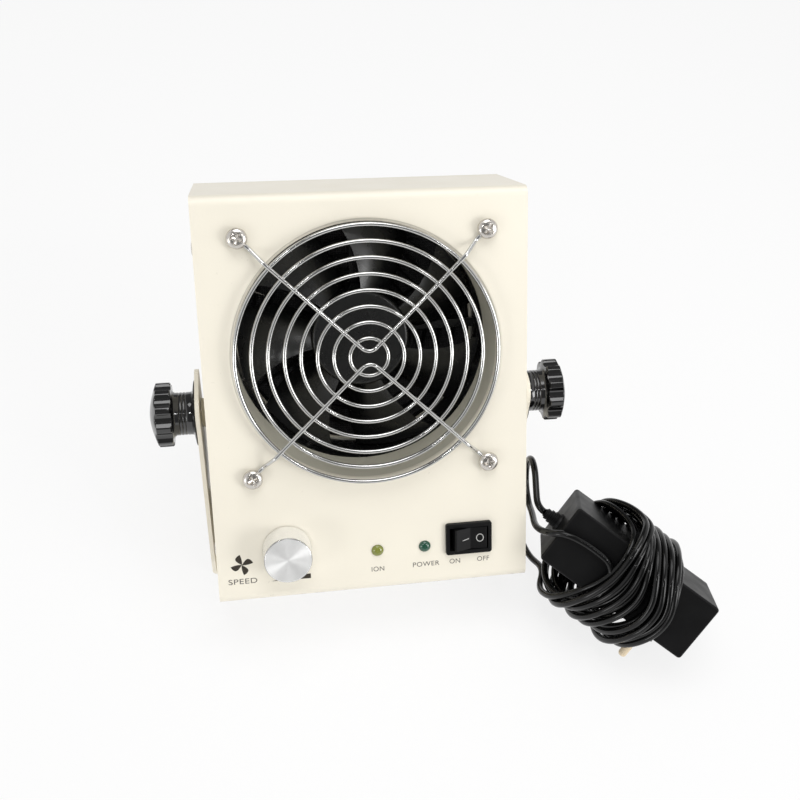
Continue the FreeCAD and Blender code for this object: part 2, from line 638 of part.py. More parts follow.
def fan_rotor():
    """Hub cup with seven swept blades."""
    cup = ring(z.hub_radius, 0, HUB_FRONT, HUB_REAR)
    rim = [e for e in cup.Edges if isinstance(e.Curve, Part.Circle)
           and near(e.Curve.Center.y, HUB_FRONT)]
    cup = cup.makeFillet(2.0, rim)
    inner = float(z.hub_radius) - float(z.hub_wall)
    cup = cup.cut(ring(inner, 0, HUB_FRONT + z.hub_wall, HUB_REAR + 1))
    cup = cup.cut(ring(z.shaft_radius, 0, HUB_FRONT + 0.8, HUB_REAR))
    cup = cup.fuse(ring(z.shaft_radius + z.hub_wall, z.shaft_radius, HUB_FRONT + 0.8,
                        HUB_FRONT + z.hub_wall + z.air_gap * 0.7))
    one = blade().cut(ring(float(z.hub_radius) - 0.6, 0, 0, z.case_depth))
    blades = []
    for k in range(BLADES):
        copy = one.copy()
        copy.rotate(Vec(0, 0, 0), Y_DIR, float(z.blade_phase) - 360.0 / BLADES * k)
        blades.append(copy)
    rotor = cup.multiFuse(blades)
    rotor.translate(Vec(0, 0, float(FAN_HEIGHT)))
    shape_node("fan_rotor", rotor, HEAD_PLACE)


def fan_inner_parts():
    """Shaft, bearings, stator and magnet ring inside the hub."""
    rise = FAN_HEIGHT
    tube_front = HUB_FRONT + z.hub_wall + z.air_gap
    shaft_end = EMITTER_FRONT - z.strut_depth / 2 - 0.5
    shape_node("fan_shaft", ring(z.shaft_radius, 0, HUB_FRONT + 0.8, shaft_end, 0, rise),
               HEAD_PLACE)
    fit = z.shaft_radius + z.running_gap
    bearings = [ring(z.bearing_radius, fit, tube_front, tube_front + 4, 0, rise),
                ring(z.bearing_radius, fit, PLATE_FRONT - 3, PLATE_FRONT + 1, 0, rise)]
    shape_node("fan_bearings", Part.makeCompound(bearings), HEAD_PLACE)
    start, end = tube_front + 1.5, PLATE_FRONT - 1.5
    stator = ring(z.stator_radius, z.tube_radius, start, end, 0, rise)
    for k in range(4):
        slot = Part.makeBox(3.0, float(end) - float(start) + 2, 8.0,
                            Vec(-1.5, float(start) - 1, 9.5))
        slot.rotate(Vec(0, 0, 0), Y_DIR, 45 + 90 * k)
        slot.translate(Vec(0, 0, float(rise)))
        stator = stator.cut(slot)
    shape_node("fan_stator", stator, HEAD_PLACE)
    outer = z.hub_radius - z.hub_wall
    magnet = ring(outer, outer - z.magnet_wall, HUB_FRONT + z.hub_wall + 1.2,
                  HUB_REAR - 0.6, 0, rise)
    shape_node("fan_magnet", magnet, HEAD_PLACE)


# ---------------------------------------------------------------- emitter
def emitter_parts():
    """Insulating plate behind the fan and its eight needles pointing at the axis."""
    body = new_body("emitter_plate")
    flat = sketch(body, "XZ_Plane", EMITTER_FRONT)
    rounded_square(flat, z.fan_square, z.fan_corner, FAN_HEIGHT)
    circle(flat, z.fan_bore, 0, FAN_HEIGHT)
    screw_circles(flat)
    pad(body, flat, z.emitter_depth, "XZ_Plane")
    keep(body, "emitter_plate", HEAD_PLACE)
    needles = []
    middle = float(EMITTER_FRONT) + float(z.emitter_depth) / 2
    for k in range(NEEDLES):
        angle = math.radians(360 / NEEDLES * (k + 0.5))
        out = Vec(math.cos(angle), 0, math.sin(angle))
        foot = out * float(z.fan_bore) + Vec(0, middle, float(FAN_HEIGHT))
        shank = float(z.needle_length) * 0.7
        needle = Part.makeCylinder(float(z.needle_radius), shank, foot, out * -1)
        point = Part.makeCone(float(z.needle_radius), float(z.needle_tip),
                              float(z.needle_length) - shank, foot - out * shank, out * -1)
        needles.append(needle.fuse(point))
    shape_node("emitter_needles", Part.makeCompound(needles), HEAD_PLACE)


# ---------------------------------------------------------------- guards
def guard(seat, way):
    """Wire finger guard: eight rings and two V stays ending in eyes round the screws.

    It stands on the plane Y = seat, on the side that `way` (-1 front, 1 rear) points to.
    """
    wire, rise = float(z.guard_wire), float(FAN_HEIGHT)
    level = seat + way * float(z.guard_stand)
    stay = level + way * (2 * wire - float(z.guard_weld))
    base = seat + way * wire
    half = float(HALF_PITCH)
    centre = Vec(0, level, rise)
    parts = [Part.makeTorus(float(z.guard_reach) - k * float(z.guard_pitch), wire,
                            centre, Y_DIR) for k in range(GUARD_RINGS)]
    lean = math.sqrt(0.5)
    for sz in (-1, 1):
        spots = []
        for sx in (-1, 1):
            way_in = Vec(-sx * lean, 0, -sz * lean)
            eye = Vec(sx * half, base, rise + sz * half)
            start = eye + way_in * float(z.eye_radius)
            foot = start + way_in * 4.0
            top = Vec(foot.x, stay, foot.z) + way_in * 7.0
            spots.append((start, foot, top))
            parts.append(Part.makeTorus(float(z.eye_radius), wire, eye, Y_DIR))
        apex = Vec(0, stay, rise + sz * 1.2)
        path = [spots[0][0], spots[0][1], spots[0][2], apex,
                spots[1][2], spots[1][1], spots[1][0]]
        parts.append(round_tube(path, wire, [3.0, 3.0, 4.5, 3.0, 3.0]))
    return parts[0].multiFuse(parts[1:])


def round_tube(points, radius, bends):
    """A round bar along straight runs joined by tangent arcs of the given bend radii."""
    edges, start = [], points[0]
    for i, bend in enumerate(bends, start=1):
        before, after = points[i] - points[i - 1], points[i + 1] - points[i]
        half = before.getAngle(after) / 2
        cut = bend * math.tan(half)
        before.normalize()
        after.normalize()
        enter, leave = points[i] - before * cut, points[i] + after * cut
        inward = after - before
        inward.normalize()
        middle = points[i] + inward * (bend / math.cos(half) - bend)
        edges.append(Part.LineSegment(start, enter).toShape())
        edges.append(Part.Arc(enter, middle, leave).toShape())
        start = leave
    edges.append(Part.LineSegment(start, points[-1]).toShape())
    spine = Part.Wire(edges)
    way = points[1] - points[0]
    section = Part.Wire([Part.Circle(points[0], way, float(radius)).toShape()])
    tube = spine.makePipeShell([section], True, False)
    return tube


def guards_and_screws():
    shape_node("front_guard", guard(0.0, -1), HEAD_PLACE)
    shape_node("rear_guard", guard(float(z.case_depth), 1), HEAD_PLACE)
    lift = 2 * float(z.guard_wire)
    front = [pan_screw(x, h, -lift, z.guard_screw_length, 1) for x, h in corner_spots()]
    shape_node("guard_screws", Part.makeCompound(front), HEAD_PLACE)
    rear = [pan_screw(x, h, float(z.case_depth) + lift, z.rear_screw_length, -1)
            for x, h in corner_spots()]
    shape_node("rear_guard_screws", Part.makeCompound(rear), HEAD_PLACE)
    nuts = [hexagon(z.nut_radius, z.sheet_wall, z.sheet_wall + z.nut_height, x, h,
                    z.screw_radius) for x, h in corner_spots()]
    shape_node("guard_nuts", Part.makeCompound(nuts), HEAD_PLACE)


def rear_filter():
    """Intake filter under the rear guard: a moulded grid in the vent hole, and its pad."""
    front, seat = REAR_INNER + z.grid_gap, z.case_depth
    back = seat + z.grid_wall
    bar = z.grid_bar
    parts = [ring(VENT_RADIUS + z.grid_lap, GRID_RADIUS - bar, seat, back)]
    parts += [ring(GRID_RADIUS - z.guard_pitch * k, GRID_RADIUS - z.guard_pitch * k - bar,
                   front, back) for k in range(GUARD_RINGS)]
    inner = GRID_RADIUS - z.guard_pitch * (GUARD_RINGS - 1) - bar / 2
    long = GRID_RADIUS - bar / 2 - inner
    for k in range(GRID_SPOKES):
        spoke = block(bar, back - front, long, 0, front, inner)
        spoke.rotate(Vec(0, 0, 0), Y_DIR, 360 / GRID_SPOKES * k)
        parts.append(spoke)
    grid = parts[0].multiFuse(parts[1:])
    grid.translate(Vec(0, 0, float(FAN_HEIGHT)))
    shape_node("filter_grid", grid, HEAD_PLACE)
    end = seat + z.guard_stand - z.guard_wire - z.grid_gap
    mesh = ring(VENT_RADIUS - z.filter_fit, 0, back + z.grid_gap, end, 0, FAN_HEIGHT)
    shape_node("filter_pad", mesh, HEAD_PLACE)


# ---------------------------------------------------------------- controls
def switch():
    """Rocker switch: housing with its bezel and well, and the two-position rocker."""
    body = new_body("switch_housing")
    face = sketch(body, "XZ_Plane", -z.bezel_depth)
    centred(face, z.bezel_width, z.bezel_height, SWITCH_SIDE, SWITCH_HEIGHT)
    pad(body, face, z.bezel_depth, "XZ_Plane")
    box = sketch(body, "XZ_Plane", -z.bezel_depth / 2)
    centred(box, z.switch_width, z.switch_height, SWITCH_SIDE, SWITCH_HEIGHT)
    pad(body, box, z.switch_depth, "XZ_Plane")
    well = sketch(body, "XZ_Plane", -z.bezel_depth - 1)
    centred(well, z.rocker_width + z.rocker_swing * 2, z.rocker_height + z.rocker_gap * 2,
            SWITCH_SIDE, SWITCH_HEIGHT)
    pocket(body, well, z.rocker_axle + z.rocker_root + z.bezel_depth + z.well_room,
           "XZ_Plane")
    axle = sketch(body, "XY_Plane")
    circle(axle, z.rocker_pin + z.running_gap, SWITCH_SIDE, z.rocker_axle)
    pocket(body, axle, CASE_HEIGHT, "XY_Plane", both=True)
    round_edges(body, 1.2, lambda e, m: along(e, Y_DIR) and m.y < 0
                and near(abs(m.x - float(SWITCH_SIDE)), z.bezel_width / 2))
    round_edges(body, 0.5, lambda e, m: near(m.y, -z.bezel_depth)
                and (near(abs(m.x - float(SWITCH_SIDE)), z.bezel_width / 2)
                     or near(abs(m.z - float(SWITCH_HEIGHT)), z.bezel_height / 2)))
    keep(body, "switch_housing", HEAD_PLACE)

    rocker = new_body("switch_rocker")
    plan = sketch(rocker, "XY_Plane", -z.rocker_height / 2)
    half = z.rocker_width / 2
    top, low = -z.rocker_axle - z.rocker_rise, z.rocker_root
    outline(plan, [(-half, top), (0, top + z.rocker_crown), (half, top), (half, -1.0),
                   (half / 3, low), (-half / 3, low), (-half, -1.0)])
    pad(rocker, plan, z.rocker_height, "XY_Plane")
    pins = sketch(rocker, "XY_Plane")
    circle(pins, z.rocker_pin)
    pad(rocker, pins, z.rocker_height + z.rocker_pin_length * 2, "XY_Plane", both=True)
    round_edges(rocker, 0.6, lambda e, m: near(abs(m.x), half) and m.y < float(top) + 3
                and along(e, Z_DIR))
    seat = Vec(float(SWITCH_SIDE), float(z.rocker_axle), float(SWITCH_HEIGHT))
    rocker.Placement = FreeCAD.Placement(
        seat, FreeCAD.Rotation(Z_DIR, float(z.rocker_lean)))
    keep(rocker, "switch_rocker", HEAD_PLACE)


def led(label, side):
    """A round indicator: domed lens, rear collar and two legs."""
    r, stand = float(z.led_radius), float(z.led_stand)
    rim, seat, back = r + float(z.led_rim), float(z.led_seat), float(z.led_back)
    shoulder = -float(z.led_rim)
    profile = Part.Wire([
        Part.Arc(Vec(0, -stand, 0), Vec(r * 0.72, shoulder - (stand + shoulder) * 0.68, 0),
                 Vec(r, shoulder, 0)).toShape(),
        Part.LineSegment(Vec(r, shoulder, 0), Vec(r, seat, 0)).toShape(),
        Part.LineSegment(Vec(r, seat, 0), Vec(rim, seat, 0)).toShape(),
        Part.LineSegment(Vec(rim, seat, 0), Vec(rim, back, 0)).toShape(),
        Part.LineSegment(Vec(rim, back, 0), Vec(0, back, 0)).toShape(),
        Part.LineSegment(Vec(0, back, 0), Vec(0, -stand, 0)).toShape(),
    ])
    solid = Part.Face(profile).revolve(Vec(0, 0, 0), Y_DIR, 360)
    legs = [ring(z.leg_radius, 0, back - 0.5, z.led_back + z.leg_length, z.leg_pitch / 2 * way)
            for way in (-1, 1)]
    solid = solid.multiFuse(legs)
    solid.translate(Vec(float(side), 0, float(LED_HEIGHT)))
    shape_node(label, solid, HEAD_PLACE)


def dial():
    """Speed dial turned from bar, its spindle, and the potentiometer behind the panel."""
    body = new_body("speed_dial")
    flat = sketch(body, "XY_Plane")
    base, face = -z.dial_gap, -z.dial_gap - z.dial_length
    floor = -z.bushing_length - 0.4
    outline(flat, [(z.dial_recess, base), (z.dial_radius + z.dial_flare, base),
                   (z.dial_radius, face), (0, face), (0, face + 2.3),
                   (z.spindle_radius, face + 2.3), (z.spindle_radius, floor),
                   (z.dial_recess, floor)])
    turn_profile(body, flat, "V_Axis")
    round_edges(body, 0.5, lambda e, m: isinstance(e.Curve, Part.Circle)
                and near(e.Curve.Radius, z.dial_radius) and near(m.y, face))
    seat = FreeCAD.Placement(Vec(float(DIAL_SIDE), 0, float(DIAL_HEIGHT)),
                             FreeCAD.Rotation())
    body.Placement = seat
    keep(body, "speed_dial", HEAD_PLACE)
    x, h = DIAL_SIDE, DIAL_HEIGHT
    shape_node("speed_spindle", ring(z.spindle_radius, 0, face + 2.3, 4.0, x, h), HEAD_PLACE)
    back = z.sheet_wall + z.pot_depth
    pot = ring(z.bushing_radius, 0, -z.bushing_length, z.sheet_wall + 1, x, h)
    pot = pot.fuse(ring(z.pot_radius, 0, z.sheet_wall, back, x, h))
    pot = pot.fuse(Part.makeBox(12.0, 1.6, 9.0, Vec(float(x) - 6, float(back) - 3,
                                                    float(h) - float(z.pot_radius) - 4)))
    bore = z.spindle_radius + z.running_gap
    pot = pot.cut(ring(bore, 0, -z.bushing_length - 1, 4.5, x, h))
    shape_node("speed_potentiometer", pot, HEAD_PLACE)
    nut = hexagon(z.pot_nut_radius, -z.pot_nut_height, 0, x, h, z.bushing_radius)
    shape_node("potentiometer_nut", nut, HEAD_PLACE)


# ---------------------------------------------------------------- inside the case
# each can's place across and along the board as shares, then its radius and height
CAPACITORS = ((-0.47, 0.27, 4, 12), (-0.29, 0.27, 4, 12), (-0.08, 0.67, 2.6, 8),
              (0.75, 0.27, 3.1, 9))


def electronics():
    """The control board on its posts, the parts on it, and the high-voltage module."""
    floor = -HALF_H + z.sheet_wall
    board_low = floor + z.standoff_height
    front = REAR_INNER - z.board_depth - 1
    posts = []
    for sx in (-1, 1):
        for y in (front + 4, front + z.board_depth - 4):
            spot = Vec(sx * (float(BOARD_WIDTH) / 2 - 4), float(y), float(floor))
            posts.append(Part.makeCylinder(float(z.standoff_radius),
                                           float(z.standoff_height), spot))
    shape_node("board_standoffs", Part.makeCompound(posts), HEAD_PLACE)
    board = block(BOARD_WIDTH, z.board_depth, z.board_wall, 0, front, board_low)
    shape_node("control_board", board, HEAD_PLACE)
    top = float(board_low) + float(z.board_wall)
    half, deep = float(BOARD_WIDTH) / 2, float(z.board_depth)
    parts = [block(16, 14, 11, -half * 0.75, float(front) + 3, top),
             block(9, 12, 8, half * 0.47, float(front) + 12, top),
             block(12, 6, 7, half * 0.17, float(front) + 2, top)]
    for side, y, r, tall in CAPACITORS:
        spot = Vec(half * side, float(front) + deep * y, top)
        parts.append(Part.makeCylinder(r, tall, spot))
    shape_node("board_components", Part.makeCompound(parts), HEAD_PLACE)
    module = block(z.module_width, z.module_depth, z.module_height, MODULE_SIDE,
                   REAR_INNER - z.module_depth, MODULE_HEIGHT - z.module_height / 2)
    edges = [e for e in module.Edges if along(e, Y_DIR)]
    shape_node("high_voltage_module", module.makeFillet(2.0, edges), HEAD_PLACE)


def dc_inlet():
    """Threaded low-voltage jack in the back, its nut, and the plug of the lead."""
    x, h = JACK_SIDE, JACK_HEIGHT
    outer = z.case_depth + z.jack_stand
    jack = block(z.jack_body, z.jack_depth, z.jack_body, x, REAR_INNER - z.jack_depth,
                 h - z.jack_body / 2)
    jack = jack.fuse(ring(z.jack_radius, 0, REAR_INNER - 1, outer, x, h))
    jack = jack.cut(ring(z.jack_bore, 0, REAR_INNER - z.jack_depth + 3, outer + 1, x, h))
    jack = jack.fuse(ring(1.0, 0, REAR_INNER - z.jack_depth + 2, z.case_depth, x, h))
    shape_node("dc_jack", jack, HEAD_PLACE)
    nut = hexagon(z.jack_nut_radius, z.case_depth, z.case_depth + 2, x, h, z.jack_radius)
    shape_node("jack_nut", nut, HEAD_PLACE)

    body = new_body("dc_plug")
    flat = sketch(body, "XY_Plane")
    start, end = outer + 0.2, outer + 0.2 + z.plug_length
    nose = start - z.plug_barrel_length
    grip, tail = z.plug_radius, z.lead_radius + 0.9
    outline(flat, [(0, end), (tail, end), (tail + 0.6, end - 4), (tail + 0.2, end - 4.6),
                   (tail + 1.0, end - 8), (grip, end - 9.5), (grip, start),
                   (z.plug_barrel, start), (z.plug_barrel, nose), (1.25, nose),
                   (1.25, start), (0, start)])
    turn_profile(body, flat, "V_Axis")
    body.Placement = FreeCAD.Placement(Vec(float(x), 0, float(h)), FreeCAD.Rotation())
    keep(body, "dc_plug", HEAD_PLACE)


# ---------------------------------------------------------------- tilt pivot and bracket
def across(outer, inner, start, end, y, height):
    """A tube along X between two stations."""
    base = Vec(float(start), float(y), float(height))
    length = float(end) - float(start)
    solid = Part.makeCylinder(float(outer), length, base, X_DIR)
    return solid.cut(Part.makeCylinder(float(inner), length, base, X_DIR))


def pivot_parts():
    """Threaded inserts inside the case's sides and the spacer washers outside them."""
    y, h = z.pivot_depth, z.pivot_drop
    inner = HALF_W - z.sheet_wall
    bore = z.stud_radius + z.running_gap
    inserts = [across(z.insert_radius, bore, inner - z.insert_length, inner, y, h),
               across(z.insert_radius, bore, -inner, -inner + z.insert_length, y, h)]
    shape_node("pivot_inserts", Part.makeCompound(inserts), HEAD_PLACE)
    outer = HALF_W + z.spacer_length
    spacers = [across(z.spacer_radius, z.stud_hole, HALF_W, outer, y, h),
               across(z.spacer_radius, z.stud_hole, -outer, -HALF_W, y, h)]
    shape_node("pivot_spacers", Part.makeCompound(spacers), HEAD_PLACE)


def bracket():
    """U bracket of one bent sheet: arms that taper to round corners, holes for bench screws."""
    body = new_body("tilt_bracket")
    top = PIVOT_HEIGHT + z.arm_rise
    flat = sketch(body, "XZ_Plane")
    outline(flat, [(-ARM_OUTER, 0), (ARM_OUTER, 0), (ARM_OUTER, top), (ARM_INNER, top),
                   (ARM_INNER, z.arm_wall), (-ARM_INNER, z.arm_wall), (-ARM_INNER, top),
                   (-ARM_OUTER, top)])
    pad(body, flat, z.bracket_depth, "XZ_Plane", both=True)
    pivots = sketch(body, "YZ_Plane")
    circle(pivots, z.stud_hole, 0, PIVOT_HEIGHT)
    pocket(body, pivots, ARM_OUTER * 2 + 2, "YZ_Plane", both=True)
    mounts = sketch(body, "XY_Plane", -1.0)
    for sx in (-1, 1):
        for sy in (-1, 1):
            circle(mounts, z.mount_hole, z.mount_pitch_x * 0.5 * sx, z.mount_pitch_y * 0.5 * sy)
    pocket(body, mounts, z.arm_wall + 2, "XY_Plane")
    edge, narrow = z.bracket_depth / 2, z.arm_width / 2
    taper = sketch(body, "YZ_Plane")
    for side in (-1, 1):
        outline(taper, [(edge * side, z.arm_foot), (narrow * side, PIVOT_HEIGHT),
                        (narrow * side, top + 1), ((edge + 1) * side, top + 1),
                        ((edge + 1) * side, z.arm_foot)])
    pocket(body, taper, ARM_OUTER * 2 + 2, "YZ_Plane", both=True)
    round_edges(body, z.arm_corner, lambda e, m: along(e, X_DIR) and near(m.z, top)
                and near(abs(m.y), narrow))
    round_edges(body, z.bracket_bend, lambda e, m: along(e, Y_DIR) and near(m.z, 0)
                and near(abs(m.x), ARM_OUTER))
    round_edges(body, z.bracket_bend - z.arm_wall, lambda e, m: along(e, Y_DIR)
                and near(m.z, z.arm_wall) and near(abs(m.x), ARM_INNER))
    keep(body, "tilt_bracket", ROW_PLACE)


def clamp_knob(label, side):
    """Fluted star knob with its hub, and the steel stud that it is moulded on."""
    body = new_body(label)
    flat = sketch(body, "XZ_Plane")
    hub_end = KNOB_FACE + z.knob_hub_length
    rim_end = hub_end + z.knob_rim
    crown = rim_end + z.knob_dome
    grip = hub_end + z.stud_grip * 0.5
    points = [(KNOB_FACE, z.stud_radius), (KNOB_FACE, z.knob_flange),
              (KNOB_FACE + z.flange_depth, z.knob_hub),
              (hub_end - 1.2, z.knob_hub), (hub_end, z.knob_hub + 1.2),
              (hub_end, z.knob_radius), (rim_end, z.knob_radius), (crown, z.knob_crown),
              (crown, 0), (grip, 0), (grip, z.stud_radius)]
    outline(flat, [(x * side, r) for x, r in points])
    turn_profile(body, flat, "H_Axis")
    flute = sketch(body, "YZ_Plane", (hub_end - 0.6) * side if side > 0 else -crown - 0.6)
    circle(flute, z.knob_flute, 0, z.knob_flute_reach)
    cut = pocket(body, flute, z.knob_rim + z.knob_dome + 1.2, "YZ_Plane")
    polar(body, cut, flat, "H_Axis", z.knob_lobes)
    doc.recompute()
    round_edges(body, 0.7, lambda e, m: near(m.x, rim_end * side)
                and isinstance(e.Curve, Part.Circle))
    body.Placement = FreeCAD.Placement(Vec(0, 0, float(PIVOT_HEIGHT)), FreeCAD.Rotation())
    keep(body, label, ROW_PLACE)
    inner = HALF_W - z.sheet_wall - z.insert_length + 0.6
    stud = Part.makeCylinder(float(z.stud_radius), float(grip) - float(inner),
                             Vec(float(inner), 0, float(PIVOT_HEIGHT)), X_DIR)
    if side < 0:
        stud = stud.mirror(Vec(0, 0, 0), X_DIR)
    shape_node(label.replace("knob", "stud"), stud, ROW_PLACE)


# ---------------------------------------------------------------- adapter and its lead
def adapter_shell(label, side):
    """Half of the adapter's moulded housing, split along its mid plane."""
    body = new_body(label)
    low = ZERO if side > 0 else -z.adapter_thick / 2
    flat = sketch(body, "XY_Plane", low)
    centred(flat, z.adapter_length, z.adapter_width)
    pad(body, flat, z.adapter_thick / 2, "XY_Plane")
    face = z.adapter_thick / 2 * side
    round_edges(body, z.adapter_corner, lambda e, m: along(e, Z_DIR))
    round_edges(body, z.adapter_corner * 0.6, lambda e, m: near(m.z, face))
    keep(body, label, ADAPTER_PLACE)


def adapter_plug():
    """Raised plug block on the adapter's side with its two round pins."""
    base = -float(z.adapter_width) / 2
    rise = float(z.island_height)
    island = Part.makeBox(float(z.island_length), rise, float(z.island_width),
                          Vec(float(z.island_side) - float(z.island_length) / 2, base - rise,
                              -float(z.island_width) / 2))
    island = island.makeFillet(1.2, [e for e in island.Edges if along(e, Y_DIR)])
    shape_node("plug_block", island, ADAPTER_PLACE)
    pins = []
    for sz in (-1, 1):
        foot = Vec(float(z.island_side), base - rise, sz * float(z.pin_pitch) / 2)
        pin = Part.makeCylinder(float(z.pin_radius), float(z.pin_length), foot, Vec(0, -1, 0))
        tip = [e for e in pin.Edges if isinstance(e.Curve, Part.Circle)
               and near(e.Curve.Center.y, base - rise - float(z.pin_length))]
        pins.append(pin.makeFillet(float(z.pin_radius) * 0.7, tip))
    shape_node("plug_pins", Part.makeCompound(pins), ADAPTER_PLACE)


def adapter_relief():
    """Tapered, grooved strain relief on the adapter's end."""
    body = new_body("adapter_relief")
    flat = sketch(body, "XY_Plane")
    start = -z.adapter_length / 2
    count = int(float(z.relief_ribs))
    step = z.relief_length / count
    drop = (z.relief_radius - z.relief_tip) / count
    points = [(start, 0), (start, z.relief_radius)]
    for k in range(count):
        r = z.relief_radius - drop * (k + 0.5)
        x = start - step * k
        points += [(x - step * 0.6, r), (x - step * 0.6, r - z.relief_groove),
                   (x - step, r - z.relief_groove), (x - step, r - drop)]
    points[-1] = (start - z.relief_length, z.lead_radius + 0.4)
    points.append((start - z.relief_length, 0))
    outline(flat, points)
    turn_profile(body, flat, "H_Axis")
    keep(body, "adapter_relief", ADAPTER_PLACE)


def winding():
    """Outer form of the loose turns of lead wound round the adapter."""
    r, corner = float(z.winding_radius), float(z.winding_corner)
    low, high = float(z.winding_start), float(z.winding_end)
    bend = corner * (1 - math.sqrt(0.5))
    edges = [Part.LineSegment(Vec(low, 0, 0), Vec(low, r - corner, 0)),
             Part.Arc(Vec(low, r - corner, 0), Vec(low + bend, r - bend, 0),
                      Vec(low + corner, r, 0)),
             Part.LineSegment(Vec(low + corner, r, 0), Vec(high - corner, r, 0)),
             Part.Arc(Vec(high - corner, r, 0), Vec(high - bend, r - bend, 0),
                      Vec(high, r - corner, 0)),
             Part.LineSegment(Vec(high, r - corner, 0), Vec(high, 0, 0)),
             Part.LineSegment(Vec(high, 0, 0), Vec(low, 0, 0))]
    solid = Part.Face(Part.Wire([e.toShape() for e in edges])).revolve(
        Vec(0, 0, 0), X_DIR, 360)
    down = ADAPTER_TURN.inverted().multVec(-Z_DIR)
    down.x = 0
    solid.translate(down.normalize() * float(z.winding_sag))
    gap = float(z.winding_gap)
    size = [float(z.adapter_length) + 20, float(z.adapter_width) + gap * 2,
            float(z.adapter_thick) + gap * 2]
    solid = solid.cut(Part.makeBox(*size, Vec(*[-s / 2 for s in size])))
    reach = r * 2
    wedge = Part.makeBox(reach, reach * 2, reach, Vec(-reach, -reach, 0))
    wedge.rotate(Vec(0, 0, 0), Y_DIR, float(z.winding_lean))
    wedge.translate(Vec(float(z.winding_open), 0, float(z.adapter_thick) / 2))
    shape_node("lead_winding", solid.cut(wedge), ADAPTER_PLACE)


PLUG_LEAD = [(45.0, 18.37, 17.42), (45.0, 28.5, 11.57), (47.0, 41.0, 5.4), (55.5, 50.5, 2.0),
             (67.5, 50.5, 1.9), (77.0, 41.5, 1.9), (81.5, 24.0, 1.9), (82.4, 2.0, 1.9),
             (81.4, -20.0, 1.9), (82.6, -36.5, 4.6), (86.5, -49.5, 12.5), (93.0, -60.0, 23.0)]
RELIEF_LEAD = [(81.17, -47.23, 55.28), (77.88, -44.97, 56.89), (78.6, -37.0, 60.3),
               (79.8, -27.5, 63.5), (80.6, -17.0, 60.5), (80.8, -12.5, 50.3),
               (80.6, -16.5, 40.3), (80.2, -27.5, 37.0), (79.0, -38.0, 43.0),
               (75.8, -52.5, 51.4), (78.0, -63.4, 61.0), (84.8, -67.4, 65.0),
               (93.5, -71.6, 61.9), (99.5, -75.8, 58.9), (105.4, -80.8, 55.2)]


def lead(label, route):
    """A free lead: straight runs joined by tangent arcs as large as the runs allow."""
    points = [Vec(*p) for p in route]
    bends = []
    for i in range(1, len(points) - 1):
        before, after = points[i] - points[i - 1], points[i + 1] - points[i]
        half = before.getAngle(after) / 2
        bends.append(0.45 * min(before.Length, after.Length) / math.tan(half))
    tube = round_tube(points, z.lead_radius, bends)
    length = tube.Volume / (math.pi * float(z.lead_radius) ** 2)
    print(label, "length", round(length, 1), "radii", [round(b, 1) for b in bends])
    shape_node(label, tube, ROW_PLACE)


def report_and_export():
    doc.recompute()
    for thing in doc.Objects:
        if any(flag in ("Invalid", "Error") for flag in thing.State):
            raise RuntimeError(f"{thing.Label} failed: {thing.State}")
    os.makedirs("parts", exist_ok=True)
    for node in NODES:
        shape = node.Shape
        if shape.isNull() or not shape.isValid() or not shape.Solids:
            raise RuntimeError(f"{node.Label} has no valid solid")
        shape.exportStep(os.path.join("parts", f"{node.Label}.step"))
        print(f"{node.Label}: {len(shape.Solids)} solid(s), {shape.Volume:.0f} mm3")
    print(len(NODES), "nodes")


front_panel()
rear_cover()
air_duct()
case_screws()
fan_frame()
fan_rotor()
fan_inner_parts()
emitter_parts()
guards_and_screws()
rear_filter()
switch()
led("ion_led", ION_LED_SIDE)
led("power_led", POWER_LED_SIDE)
dial()
electronics()
dc_inlet()
pivot_parts()
bracket()
clamp_knob("left_clamp_knob", -1)
clamp_knob("right_clamp_knob", 1)
adapter_shell("adapter_front_shell", 1)
adapter_shell("adapter_back_shell", -1)
adapter_plug()
adapter_relief()
winding()
lead("plug_lead", PLUG_LEAD)
lead("relief_lead", RELIEF_LEAD)
report_and_export()
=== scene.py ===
"""Looks of the ionizing blower: finishes, screws, knobs, lettering, the lead and the studio.

Everything is in metres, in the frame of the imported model. The head leans back about the tilt
pivot, so pieces on it are worked out on the upright head, in millimetres, and turned with it.
"""

import json
import logging
import math
from collections.abc import Callable, Iterable
from dataclasses import dataclass, field
from enum import Enum

import bpy
import numpy as np
from mathutils import Matrix, Vector


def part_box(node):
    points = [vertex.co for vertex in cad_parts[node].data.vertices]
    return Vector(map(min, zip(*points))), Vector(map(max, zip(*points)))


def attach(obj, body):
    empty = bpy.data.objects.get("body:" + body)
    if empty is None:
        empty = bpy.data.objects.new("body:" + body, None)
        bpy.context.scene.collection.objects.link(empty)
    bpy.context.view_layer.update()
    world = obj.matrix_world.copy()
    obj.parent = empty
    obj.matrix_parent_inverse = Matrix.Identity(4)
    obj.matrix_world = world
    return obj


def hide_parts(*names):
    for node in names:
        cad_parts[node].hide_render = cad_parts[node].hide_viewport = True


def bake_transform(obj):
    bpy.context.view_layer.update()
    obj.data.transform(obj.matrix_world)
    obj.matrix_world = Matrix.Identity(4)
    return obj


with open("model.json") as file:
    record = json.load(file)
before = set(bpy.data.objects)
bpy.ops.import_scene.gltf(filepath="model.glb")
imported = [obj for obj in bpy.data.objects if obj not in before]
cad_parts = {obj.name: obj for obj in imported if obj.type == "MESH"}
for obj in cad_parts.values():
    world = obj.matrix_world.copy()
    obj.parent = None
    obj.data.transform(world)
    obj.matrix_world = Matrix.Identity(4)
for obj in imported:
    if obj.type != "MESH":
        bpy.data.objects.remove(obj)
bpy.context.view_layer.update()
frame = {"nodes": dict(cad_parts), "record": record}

LOG = logging.getLogger("ionizing_blower")
MM = 0.001
Colour = tuple[float, float, float]
Spot = tuple[float, float, float]
Flat = tuple[float, float]
Link = bpy.types.NodeSocket
